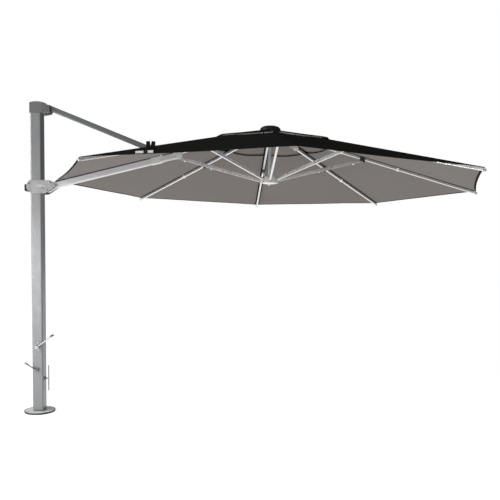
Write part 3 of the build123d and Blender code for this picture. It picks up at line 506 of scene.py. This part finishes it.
def lathe_data(profile, centre, normal, segments):
    """Vertices and faces of a turned shape; profile is (radius, height), foot to tip."""
    first, second, axis = axes_for(normal)
    centre = Vector(centre)
    vertices, faces = [], []
    for radius, height in profile:
        for step in range(segments):
            turn = 2 * math.pi * step / segments
            offset = first * math.cos(turn) + second * math.sin(turn)
            vertices.append(centre + offset * radius + axis * height)
    for ring in range(len(profile) - 1):
        for step in range(segments):
            after = (step + 1) % segments
            low, high = ring * segments, (ring + 1) * segments
            faces.append((low + step, low + after, high + after, high + step))
    faces.append(tuple(reversed(range(segments))))
    faces.append(tuple(range((len(profile) - 1) * segments, len(profile) * segments)))
    return vertices, faces


def lathe(name, profile, centre, normal, material, segments=40):
    vertices, faces = lathe_data(profile, centre, normal, segments)
    made = mesh_object(name, vertices, faces, [material])
    made.data.set_sharp_from_angle(angle=math.radians(38))
    return made


def screw_profile(radius, height):
    """A button head with a round socket."""
    return [
        (radius, 0.0),
        (radius, 0.35 * height),
        (0.93 * radius, 0.65 * height),
        (0.72 * radius, 0.92 * height),
        (0.5 * radius, height),
        (0.44 * radius, height),
        (0.40 * radius, 0.45 * height),
        (0.02 * radius, 0.40 * height),
    ]


def screws(name, places, normal, radius, height, body, material=None):
    """Several equal screw heads in one piece."""
    vertices, faces = [], []
    for place in places:
        some, rings = lathe_data(screw_profile(radius, height), place, normal, 24)
        faces += [tuple(i + len(vertices) for i in face) for face in rings]
        vertices += some
    made = mesh_object(name, vertices, faces, [material or steel_bright])
    made.data.set_sharp_from_angle(angle=math.radians(38))
    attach(made, body)
    return made


def rounded_outline(width, height, radius, steps=8):
    """Outline of a rounded rectangle round the origin."""
    points = []
    for quarter in range(4):
        turn = quarter * math.pi / 2
        side_x = 1 if quarter in (0, 3) else -1
        side_y = 1 if quarter in (0, 1) else -1
        middle = (side_x * (width / 2 - radius), side_y * (height / 2 - radius))
        for step in range(steps + 1):
            angle = turn + step * math.pi / 2 / steps
            points.append(
                (middle[0] + radius * math.cos(angle), middle[1] + radius * math.sin(angle))
            )
    return points


def raised_plate(name, size, layers, centre, turn, material):
    """A thin plate on the front face; layers are (inset, height above the face)."""
    width, height, radius = size
    vertices, faces = [], []
    rotate = Matrix.Rotation(turn, 2)
    for inset, rise in layers:
        outline = rounded_outline(
            width - 2 * inset, height - 2 * inset, max(radius - inset, 0.0005)
        )
        for point in outline:
            x, z = rotate @ Vector(point)
            vertices.append((centre[0] + x, centre[1] - rise, centre[2] + z))
    count = len(vertices) // len(layers)
    for layer in range(len(layers) - 1):
        for step in range(count):
            after = (step + 1) % count
            low, high = layer * count, (layer + 1) * count
            faces.append((low + step, low + after, high + after, high + step))
    faces.append(tuple(reversed(range(count))))
    faces.append(tuple(range((len(layers) - 1) * count, len(layers) * count)))
    made = mesh_object(name, vertices, faces, [material])
    made.data.set_sharp_from_angle(angle=math.radians(30))
    return made


def ribbon(name, points, sides, thickness, materials):
    """A flat strap along points, each with its own half-width vector."""
    vertices, faces, uvs = [], [], []
    run = 0.0
    for i, (point, side) in enumerate(zip(points, sides)):
        point, side = Vector(point), Vector(side)
        before = Vector(points[max(i - 1, 0)])
        after = Vector(points[min(i + 1, len(points) - 1)])
        run += (point - before).length
        rise = side.cross(after - before).normalized() * thickness / 2
        for sign_side, sign_rise in ((-1, -1), (1, -1), (1, 1), (-1, 1)):
            vertices.append(point + sign_side * side + sign_rise * rise)
            uvs.append((sign_side * side.length, run))
    for i in range(len(points) - 1):
        for corner in range(4):
            after = (corner + 1) % 4
            low, high = 4 * i, 4 * i + 4
            faces.append((low + corner, low + after, high + after, high + corner))
    last = 4 * (len(points) - 1)
    faces.append((3, 2, 1, 0))
    faces.append((last, last + 1, last + 2, last + 3))
    made = mesh_object(name, vertices, faces, materials)
    layer = made.data.uv_layers.new(name="weave")
    for loop in made.data.loops:
        layer.data[loop.index].uv = uvs[loop.vertex_index]
    made.data.set_sharp_from_angle(angle=math.radians(40))
    return made


# ------------------------------------------------------------------ cloth


class Gore:
    """The measures of one ring of rib-centred panels."""

    def __init__(self, top, slope, outer, hollow, sag, inner_round):
        self.top = top
        self.slope = slope
        self.outer = outer
        self.hollow = hollow
        self.sag = sag
        self.inner_round = inner_round
        self.lift = 0.0
        self.border = HEM_WIDTH

    def inner_reach(self, share):
        """Reach along the rib of the inner edge, which is round in plan or eight-sided."""
        share = abs(share)
        around = math.hypot(1 - share * SIN * SIN, share * SIN * COS)
        return self.inner_round / around

    def outer_reach(self, share):
        return self.outer - self.hollow * (1 - (1 - abs(share)) ** 2) / COS

    def height(self, x, y):
        """Height of the cloth's top at a point measured from the canopy's axis."""
        turn = math.atan2(y, x)
        rib = round(turn / (2 * HALF)) * 2 * HALF
        away = abs(turn - rib)
        radius = math.hypot(x, y)
        reach = radius * math.cos(away) + radius * math.sin(away) * math.tan(HALF)
        share = min(1.0, radius * math.sin(away) / max(reach * SIN * COS, 1e-9))
        full = reach / self.outer
        sag = self.sag * full**1.3 * math.sin(math.pi / 2 * share) ** 2
        waves = noise.noise(Vector((2.1 * x, 2.1 * y, 0.7))) * 0.0022
        puckers = noise.noise(Vector((18 * share, 3.0 * reach, rib))) * 0.0011
        soft = math.sin(math.pi * share) ** 2
        tuck = min(1.0, max(0.0, (self.outer - reach) / VENT_TUCK))
        lift = self.lift * math.sin(math.pi / 2 * tuck) * max(0.0, full - 0.6) / 0.4
        return self.top - self.slope * reach - sag + lift + (waves + puckers) * soft

    def normal(self, x, y, step=0.004):
        dx = (self.height(x + step, y) - self.height(x - step, y)) / (2 * step)
        dy = (self.height(x, y + step) - self.height(x, y - step)) / (2 * step)
        return Vector((-dx, -dy, 1)).normalized()


ROOF = Gore(ROOF_Z, ROOF_SLOPE, HEM_RADIUS, HEM_HOLLOW, ROOF_SAG, OPENING_RADIUS)
VENT = Gore(VENT_Z, VENT_SLOPE, VENT_RADIUS, VENT_HOLLOW, VENT_SAG, VENT_SPLIT)
VENT.lift = VENT_LIFT
VENT.border = VENT_BORDER


def row_shares(gore, slot):
    """Shares of the way from the inner to the outer edge, closer at the hems."""
    length = gore.outer - gore.inner_round
    hem = HEM_WIDTH / length
    middle = np.linspace(hem, 1 - hem, max(8, round(length / 0.045)))
    rows = {0.0, 0.4 * hem, 1 - 0.35 * hem, 1.0, *middle}
    if slot:
        ends = [
            (SLOT_CENTRE + sign * SLOT_HALF_LENGTH - gore.inner_round) / length for sign in (-1, 1)
        ]
        rows = {r for r in rows if not ends[0] - 0.01 < r < ends[1] + 0.01}
        rows |= {*ends, *np.linspace(*ends, 4)}
    return sorted(rows)


def column_offsets(slot):
    """Distances from the rib line of the columns beside the seam."""
    beside = [SEAM_HALF, SEAM_HALF + 0.002, RIB_BAND_HALF]
    if slot:
        beside.append(SLOT_HALF_WIDTH)
    return sorted([-offset for offset in beside] + [0.0] + beside)


def panel_grid(gore, slot, columns=13):
    """Rows of (reach, share across, extra thickness) over one rib-centred panel."""
    rows = []
    offsets = column_offsets(slot)
    for row in row_shares(gore, slot):
        reach = gore.inner_round + (gore.outer - gore.inner_round) * row
        near = [offset / (reach * SIN * COS) for offset in offsets]
        far = np.linspace(near[-1], 1.0, columns)[1:]
        shares = [*(-far[::-1]), *near, *far]
        points = []
        for share in shares:
            low, high = gore.inner_reach(share), gore.outer_reach(share)
            here = low + (high - low) * row
            extra = SEAM_EXTRA if abs(share) * reach * SIN * COS <= SEAM_HALF + 1e-6 else 0.0
            hem = min(here - low, high - here)
            extra = max(extra, HEM_EXTRA if hem < HEM_WIDTH * 0.99 else 0.0)
            dark_inside = high - here < gore.border * 0.99 or here - low < HEM_WIDTH * BINDING_SHARE
            # The inside is also black in a band on each side of the rib line, as well as at the
            # hems.
            dark_inside = dark_inside or abs(share) * reach * SIN * COS < RIB_BAND_HALF + 1e-6
            points.append((here, share, extra, hem, dark_inside))
        rows.append(points)
    return rows


def make_panel(name, angle, gore, slot=False):
    """One closed panel of cloth: outside, inside and the cut edges between them."""
    grid = panel_grid(gore, slot)
    turn = math.radians(angle)
    outward = Vector((math.cos(turn), math.sin(turn), 0))
    across = Vector((-math.sin(turn), math.cos(turn), 0))
    count = len(grid[0])
    tops, lows, normals, uvs, edges, dark_insides = [], [], [], [], [], []
    for points in grid:
        for reach, share, extra, hem, dark_inside in points:
            along, side = reach * (1 - abs(share) * SIN * SIN), reach * share * SIN * COS
            x, y, _ = outward * along + across * side
            n = gore.normal(x, y)
            base = Vector((CANOPY_X + x, y, gore.height(x, y)))
            tops.append(base + n * extra)
            lows.append(base - n * CLOTH)
            normals.append(n)
            uvs.append((side, along / math.cos(ROOF_TURN)))
            edges.append((side, hem))
            dark_insides.append(dark_inside)

    def open_slot(row, column):
        if not slot:
            return False
        inner, outer = grid[row][column], grid[row + 1][column + 1]
        middle = (inner[0] + outer[0]) / 2
        ends = (grid[row][column], grid[row][column + 1])
        sides = max(abs(end[1] * end[0] * SIN * COS) for end in ends)
        inside = abs(middle - SLOT_CENTRE) < SLOT_HALF_LENGTH
        return inside and sides < SLOT_HALF_WIDTH + 1e-4

    cells = [
        (row, column)
        for row in range(len(grid) - 1)
        for column in range(count - 1)
        if not open_slot(row, column)
    ]
    total = len(tops)
    faces, kinds, materials = [], [], []
    borders = set()
    for row, column in cells:
        a, b = row * count + column, row * count + column + 1
        quad = (a, a + count, b + count, b)
        faces.append(quad)
        kinds.append(1)
        materials.append(0)
        faces.append(tuple(i + total for i in reversed(quad)))
        kinds.append(-1)
        materials.append(0 if all(dark_insides[i] for i in quad) else 1)
        for i in range(4):
            borders.add((quad[i], quad[(i + 1) % 4]))
    for start, end in sorted(borders):
        if (end, start) not in borders:
            faces.append((end, start, start + total, end + total))
            kinds.append(0)
            materials.append(0)
    made = mesh_object(name, tops + lows, faces, [cloth_outside, cloth_inside], materials)
    mesh = made.data
    weave = mesh.uv_layers.new(name="weave")
    seam = mesh.uv_layers.new(name="edge")
    split = []
    for polygon, kind in zip(mesh.polygons, kinds):
        for i in polygon.loop_indices:
            vertex = mesh.loops[i].vertex_index % total
            weave.data[i].uv = uvs[vertex]
            seam.data[i].uv = edges[vertex]
            split.append(normals[vertex] * kind if kind else polygon.normal.copy())
    mesh.normals_split_custom_set(split)
    return made


def hang_panel(made, angle):
    """Lets a panel ride on its rib."""
    body = "arm" if angle == ARM_ANGLE else f"rib_{angle:03d}"
    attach(made, body)
    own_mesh(made)


for angle in ANGLES:
    roof = make_panel(f"canopy_panel_{angle:03d}", angle, ROOF, slot=angle == ARM_ANGLE)
    hang_panel(roof, angle)
    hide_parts("canopy")
    vent = make_panel(f"vent_panel_{angle:03d}", angle, VENT)
    hang_panel(vent, angle)
    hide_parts("vent_cap")


def make_collar():
    """The small cone of cloth clamped under the crown's knob."""
    segments = COLLAR_SEGMENTS
    rings = [(COLLAR_HOLE, 0.0), *((radius, 0.0) for radius in COLLAR_RINGS)]
    rings.append((COLLAR_RADIUS, 0.001))
    vertices, faces, uvs = [], [], []
    for thickness in (0.0, CLOTH):
        for radius, drop in rings:
            for step in range(segments):
                turn = 2 * math.pi * step / segments
                z = VENT_Z + COLLAR_RISE - VENT_SLOPE * radius - drop - thickness
                vertices.append(
                    (CANOPY_X + radius * math.cos(turn), radius * math.sin(turn), z)
                )
                uvs.append((radius * turn, radius))
    total = len(rings) * segments
    for ring in range(len(rings) - 1):
        for step in range(segments):
            after = (step + 1) % segments
            low, high = ring * segments, (ring + 1) * segments
            quad = (low + step, high + step, high + after, low + after)
            faces.append(quad)
            faces.append(tuple(i + total for i in reversed(quad)))
    for ring in (0, len(rings) - 1):
        for step in range(segments):
            after = (step + 1) % segments
            a, b = ring * segments + step, ring * segments + after
            rim = (a, b, b + total, a + total)
            faces.append(rim if ring == 0 else rim[::-1])
    made = mesh_object("vent_collar", vertices, faces, [webbing])
    layer = made.data.uv_layers.new(name="weave")
    for loop in made.data.loops:
        layer.data[loop.index].uv = uvs[loop.vertex_index]
    made.data.set_sharp_from_angle(angle=math.radians(40))
    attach(made, "crown")
    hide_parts("vent_cap")


make_collar()


# ------------------------------------------------------------------ tie straps on the cloth


def on_cloth(angle, reach, share, rise):
    """A point above the main cloth, by its rib, reach along it and share across."""
    turn = math.radians(angle)
    along, side = reach * (1 - abs(share) * SIN * SIN), reach * share * SIN * COS
    x = along * math.cos(turn) - side * math.sin(turn)
    y = along * math.sin(turn) + side * math.cos(turn)
    return Vector((CANOPY_X + x, y, ROOF.height(x, y) + rise))


def hang_strap(made, angle):
    """Lets a piece of the tie strap ride on the rib of the cloth that it is sewn to."""
    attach(made, f"rib_{angle:03d}")
    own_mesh(made)


STRAP_RIB = 225
WEB_THICK = 0.0018
LOBE_HALF, LOBE_DEPTH, LOBE_SINK = 0.017, 0.007, 0.006
LOBE_STEPS, PATCH_STEPS, STRAP_STEPS = 16, 8, 21
PATCH_SINK, PATCH_LEAN = 0.004, 0.004
STRAP_START, STRAP_RUN = (1.77, 0.50), (0.18, 0.125)
STRAP_RISE, STRAP_ARCH = 0.003, 0.012
STRAP_SIDE = (0.011, 0.0, 0.009)


def strap_lobe(name, reach, share, tall, lean):
    """A folded end of webbing that stands on the ridge, its face towards the front."""
    foot = on_cloth(STRAP_RIB, reach, share, -LOBE_SINK)
    up = Vector((math.sin(lean), 0, math.cos(lean)))
    across = Vector((math.cos(lean), 0, -math.sin(lean)))
    points, sides = [], []
    for step in range(LOBE_STEPS + 1):
        turn = math.pi * step / LOBE_STEPS
        rise = math.sin(turn) ** 0.6
        depth = LOBE_DEPTH * math.cos(turn) * (1 - 0.5 * rise)
        points.append(foot + up * (tall * rise) + Vector((0, -depth, 0)))
        sides.append(across * LOBE_HALF * (1.05 - 0.30 * rise))
    hang_strap(ribbon(name, points, sides, WEB_THICK, [webbing]), STRAP_RIB)


strap_lobe("tie_lobe_left", reach=1.77, share=0.490, tall=0.070, lean=math.radians(-5))
strap_lobe("tie_lobe_right", reach=1.76, share=0.520, tall=0.068, lean=math.radians(7))

strap_points = [
    on_cloth(
        STRAP_RIB,
        STRAP_START[0] + STRAP_RUN[0] * way,
        STRAP_START[1] + STRAP_RUN[1] * way,
        STRAP_RISE + STRAP_ARCH * math.sin(math.pi * way),
    )
    for way in np.linspace(0, 1, STRAP_STEPS + 1)
]
strap_sides = [Vector(STRAP_SIDE)] * len(strap_points)
hang_strap(ribbon("tie_strap", strap_points, strap_sides, WEB_THICK, [webbing]), STRAP_RIB)


def strap_patch(name, reach, share, half_length, tall):
    """A pale upright tab standing on the cloth near the hem."""
    points, sides = [], []
    for step in range(PATCH_STEPS + 1):
        way = step / PATCH_STEPS * 2 - 1
        foot = on_cloth(STRAP_RIB, reach, share + way * half_length / (reach * SIN * COS), 0)
        points.append(foot + Vector((0, 0, tall / 2 - PATCH_SINK)))
        sides.append(Vector((0, PATCH_LEAN, tall / 2)))
    made = ribbon(name, points, sides, WEB_THICK, [tab_pale])
    hang_strap(made, STRAP_RIB)


strap_patch("tie_patch_left", reach=1.93, share=0.552, half_length=0.028, tall=0.020)
strap_patch("tie_patch_right", reach=1.935, share=0.668, half_length=0.0195, tall=0.022)


# ------------------------------------------------------------------ small fittings

NAMEPLATE_SIZE, NAMEPLATE_PLACE = (0.076, 0.026, 0.005), (0.045, PLATE_FACE, 2.117)
NAMEPLATE_TURN = math.radians(-5)
NAMEPLATE_LAYERS = [(0, 0), (0, 0.0008), (0.0006, 0.0014), (0.0022, 0.0014), (0.0028, 0.001)]
nameplate = raised_plate(
    "carriage_nameplate",
    NAMEPLATE_SIZE,
    NAMEPLATE_LAYERS,
    NAMEPLATE_PLACE,
    NAMEPLATE_TURN,
    cast("nameplate_metal", (0.35, 0.35, 0.345), 0.5, 0.2),
)
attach(nameplate, "carriage")

WINCH_PLATE, BOLT_PROUD = 0.004, 0.005
winch_front = MAST_FACE - WINCH_PLATE
screws(
    "winch_plate_screws",
    [(WINCH_X, winch_front, height) for height in WINCH_SCREW_HEIGHTS],
    normal=(0, -1, 0),
    radius=0.0055,
    height=0.0028,
    body="mast",
)
screws(
    "fold_plate_screws",
    [(FOLD_X + side * FOLD_SCREW_APART, winch_front, FOLD_Z) for side in (-1, 1)],
    normal=(0, -1, 0),
    radius=0.0038,
    height=0.002,
    body="mast",
)
bolt_face = PLATE_FACE - BOLT_PROUD
carriage_places = [(-0.063, 2.075), (-0.063, 2.136), (0.063, 2.100), (0.100, 2.082), (0.129, 2.149)]
for side, label in ((-1, "front"), (1, "back")):
    screws(
        "carriage_screws_" + label,
        [(x, -side * bolt_face, z) for x, z in carriage_places],
        normal=(0, side, 0),
        radius=0.0066,
        height=0.0016,
        body="carriage",
        material=steel_dark,
    )


BUTTON_BACK, BUTTON_RADIUS, BUTTON_HEIGHT = 0.090, 0.0085, 0.010
STRETCHER_HALF = 0.008


def stretcher_button(angle):
    """The rubber-capped bolt under a stretcher, a little short of its rib."""
    name = "arm" if angle == ARM_ANGLE else f"{angle:03d}"
    turn, lean = math.radians(angle), stretcher_lean()
    reach = STRETCHER_PIN_RADIUS - BUTTON_BACK * math.cos(lean) + STRETCHER_HALF * math.sin(lean)
    drop = ARM_DROP if angle == ARM_ANGLE else 0.0
    height = STRETCHER_PIN_Z - drop - BUTTON_BACK * math.sin(lean)
    height -= (STRETCHER_HALF - 0.0005) * math.cos(lean)
    place = (CANOPY_X + reach * math.cos(turn), reach * math.sin(turn), height)
    down = (math.cos(turn) * math.sin(lean), math.sin(turn) * math.sin(lean), -math.cos(lean))
    profile = [
        (0.8 * BUTTON_RADIUS, 0.0),
        (BUTTON_RADIUS, 0.15 * BUTTON_HEIGHT),
        (BUTTON_RADIUS, 0.6 * BUTTON_HEIGHT),
        (0.75 * BUTTON_RADIUS, 0.9 * BUTTON_HEIGHT),
        (0.3 * BUTTON_RADIUS, BUTTON_HEIGHT),
    ]
    made = lathe("stretcher_button_" + name, profile, place, down, plastic_pale, 24)
    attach(made, "stretcher_" + name)


for angle in ANGLES:
    stretcher_button(angle)

ARM_BUTTON_X, ARM_BUTTON_Z = 0.559, 2.240
ARM_BUTTON_RADIUS, ARM_BUTTON_HEIGHT = 0.011, 0.010
arm_button = lathe(
    "arm_button",
    screw_profile(ARM_BUTTON_RADIUS, ARM_BUTTON_HEIGHT),
    (ARM_BUTTON_X, 0, ARM_BUTTON_Z),
    (math.sin(ROOF_TURN), 0, -math.cos(ROOF_TURN)),
    plastic_pale,
    24,
)
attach(arm_button, "arm")


def grip_profile(radius, length, rings):
    """A handle that swells in the middle, with finger grooves and a rounded end."""
    profile = [(0.55 * radius, 0.0), (0.78 * radius, 0.001)]
    steps = rings * 6
    for step in range(steps + 1):
        way = step / steps
        swell = 0.86 + 0.13 * math.sin(math.pi * (0.12 + 0.76 * way))
        groove = 0.022 * (0.5 + 0.5 * math.cos(2 * math.pi * rings * way))
        profile.append((radius * (swell - groove), 0.004 + (length - 0.010) * way))
    profile += [(0.80 * radius, length - 0.0025), (0.55 * radius, length - 0.0005)]
    profile.append((0.1 * radius, length))
    return profile


def grip_ends(name):
    """Middle of a grip's CAD box and its size."""
    low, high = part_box(name)
    return (low + high) / 2, high - low


WINCH_GRIP_RADIUS, WINCH_GRIP_RINGS = 0.0098, 9
FOLD_GRIP_RADIUS, FOLD_GRIP_LENGTH, FOLD_GRIP_RINGS = 0.0093, 0.048, 5
FOLD_CRANK_Y, FOLD_GRIP_START = -0.074, 0.084
FOLD_CRANK_END = (-0.113, 0.479)

middle, size = grip_ends("winch_grip")
winch_handle = lathe(
    "winch_handle",
    grip_profile(WINCH_GRIP_RADIUS, size.y, WINCH_GRIP_RINGS),
    (middle.x, middle.y + size.y / 2, middle.z),
    (0, -1, 0),
    plastic_mid,
)
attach(winch_handle, "winch")
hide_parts("winch_grip")

fold_run = (FOLD_CRANK_END[0] - FOLD_X, 0, FOLD_CRANK_END[1] - FOLD_Z)
fold_direction = Vector(fold_run).normalized()
fold_start = Vector((FOLD_X, FOLD_CRANK_Y, FOLD_Z)) + fold_direction * FOLD_GRIP_START
fold_handle = lathe(
    "fold_handle",
    grip_profile(FOLD_GRIP_RADIUS, FOLD_GRIP_LENGTH, FOLD_GRIP_RINGS),
    fold_start,
    fold_direction,
    plastic_mid,
)
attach(fold_handle, "canopy_winch")
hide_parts("fold_grip")


# ------------------------------------------------------------------ studio


FLOOR_GLOW = 0.72


def floor_material():
    s = Shading("studio_floor", (0.90, 0.90, 0.90), 0.85)
    s.vary(s.noise(0.8, 3), 0.015)
    s.bump(s.noise(90, 3), 0.0005, 0.2)
    return s.done(
        Specular_IOR_Level=0.1, Emission_Color=(1.0, 1.0, 1.0, 1.0), Emission_Strength=FLOOR_GLOW
    )


FLOOR_HALF = 30.0
floor = mesh_object(
    "studio_floor",
    [(x * FLOOR_HALF, y * FLOOR_HALF, -0.0004) for x, y in ((-1, -1), (1, -1), (1, 1), (-1, 1))],
    [(0, 1, 2, 3)],
    [floor_material()],
)

BACKDROP, SKY_DARK, SKY_BRIGHT = 1.0, 0.16, 0.66
SKY_SIDE = (-0.75, -0.50, -0.45)


def studio_world():
    """A white backdrop that lights the scene more from the left and the front."""
    world = bpy.data.worlds.new("studio")
    world.use_nodes = True
    tree = world.node_tree
    background = tree.nodes["Background"]
    background.inputs["Color"].default_value = (1.0, 1.0, 1.0, 1)
    place = tree.nodes.new("ShaderNodeTexCoord")
    side = tree.nodes.new("ShaderNodeVectorMath")
    side.operation = "DOT_PRODUCT"
    side.inputs[1].default_value = SKY_SIDE
    level = tree.nodes.new("ShaderNodeMapRange")
    level.inputs["From Min"].default_value = -1.0
    level.inputs["To Min"].default_value = SKY_DARK
    level.inputs["To Max"].default_value = SKY_BRIGHT
    path = tree.nodes.new("ShaderNodeLightPath")
    shown = tree.nodes.new("ShaderNodeMix")
    shown.inputs["B"].default_value = BACKDROP
    tree.links.new(place.outputs["Generated"], side.inputs[0])
    tree.links.new(side.outputs["Value"], level.inputs["Value"])
    tree.links.new(path.outputs["Is Camera Ray"], shown.inputs["Factor"])
    tree.links.new(level.outputs["Result"], shown.inputs["A"])
    tree.links.new(shown.outputs["Result"], background.inputs["Strength"])
    bpy.context.scene.world = world


studio_world()


def softbox(name, place, target, size, power):
    light = bpy.data.lights.new(name, "AREA")
    light.shape = "RECTANGLE"
    light.size, light.size_y = size
    light.energy = power
    made = bpy.data.objects.new(name, light)
    bpy.context.scene.collection.objects.link(made)
    made.visible_camera = False
    made.location = place
    made.rotation_mode = "QUATERNION"
    away = Vector(target) - Vector(place)
    made.rotation_quaternion = away.to_track_quat("-Z", "Y")


softbox("key_high", place=(-5.0, -2.2, 3.6), target=(1.6, -0.8, 2.4), size=(1.6, 1.6), power=200)
softbox("key_low", place=(-4.2, -3.6, 0.9), target=(1.2, 0, 1.4), size=(2.0, 1.4), power=70)
softbox("foot_fill", place=(-1.3, -2.4, 1.6), target=(0, 0, 0.1), size=(0.8, 0.8), power=14)
softbox("mast_strip", place=(-1.45, -4.3, 0.9), target=(0, 0, 0.9), size=(0.5, 0.8), power=16)

YAW, PITCH, ROLL = 0.0476, -0.0715, 0.0176
CAMERA_PLACE = (1.7331, -5.311, 1.5299)
SENSOR, LENS, SHIFT, FAR_CLIP = 36, 40.14, 0.0876, 200
forward = Vector(
    (math.sin(YAW) * math.cos(PITCH), math.cos(YAW) * math.cos(PITCH), math.sin(PITCH))
)
level = Vector((math.cos(YAW), -math.sin(YAW), 0))
upright = level.cross(forward)
right = level * math.cos(ROLL) + upright * math.sin(ROLL)
above = upright * math.cos(ROLL) - level * math.sin(ROLL)

camera_data = bpy.data.cameras.new("photo_camera")
camera_data.sensor_width = SENSOR
camera_data.lens = LENS
camera_data.shift_y = SHIFT
camera_data.clip_end = FAR_CLIP
camera = bpy.data.objects.new("photo_camera", camera_data)
bpy.context.scene.collection.objects.link(camera)
turned_axes = Matrix((right, above, -forward)).transposed().to_4x4()
camera.matrix_world = Matrix.Translation(CAMERA_PLACE) @ turned_axes
bpy.context.scene.camera = camera
bpy.context.scene.view_settings.view_transform = "Standard"
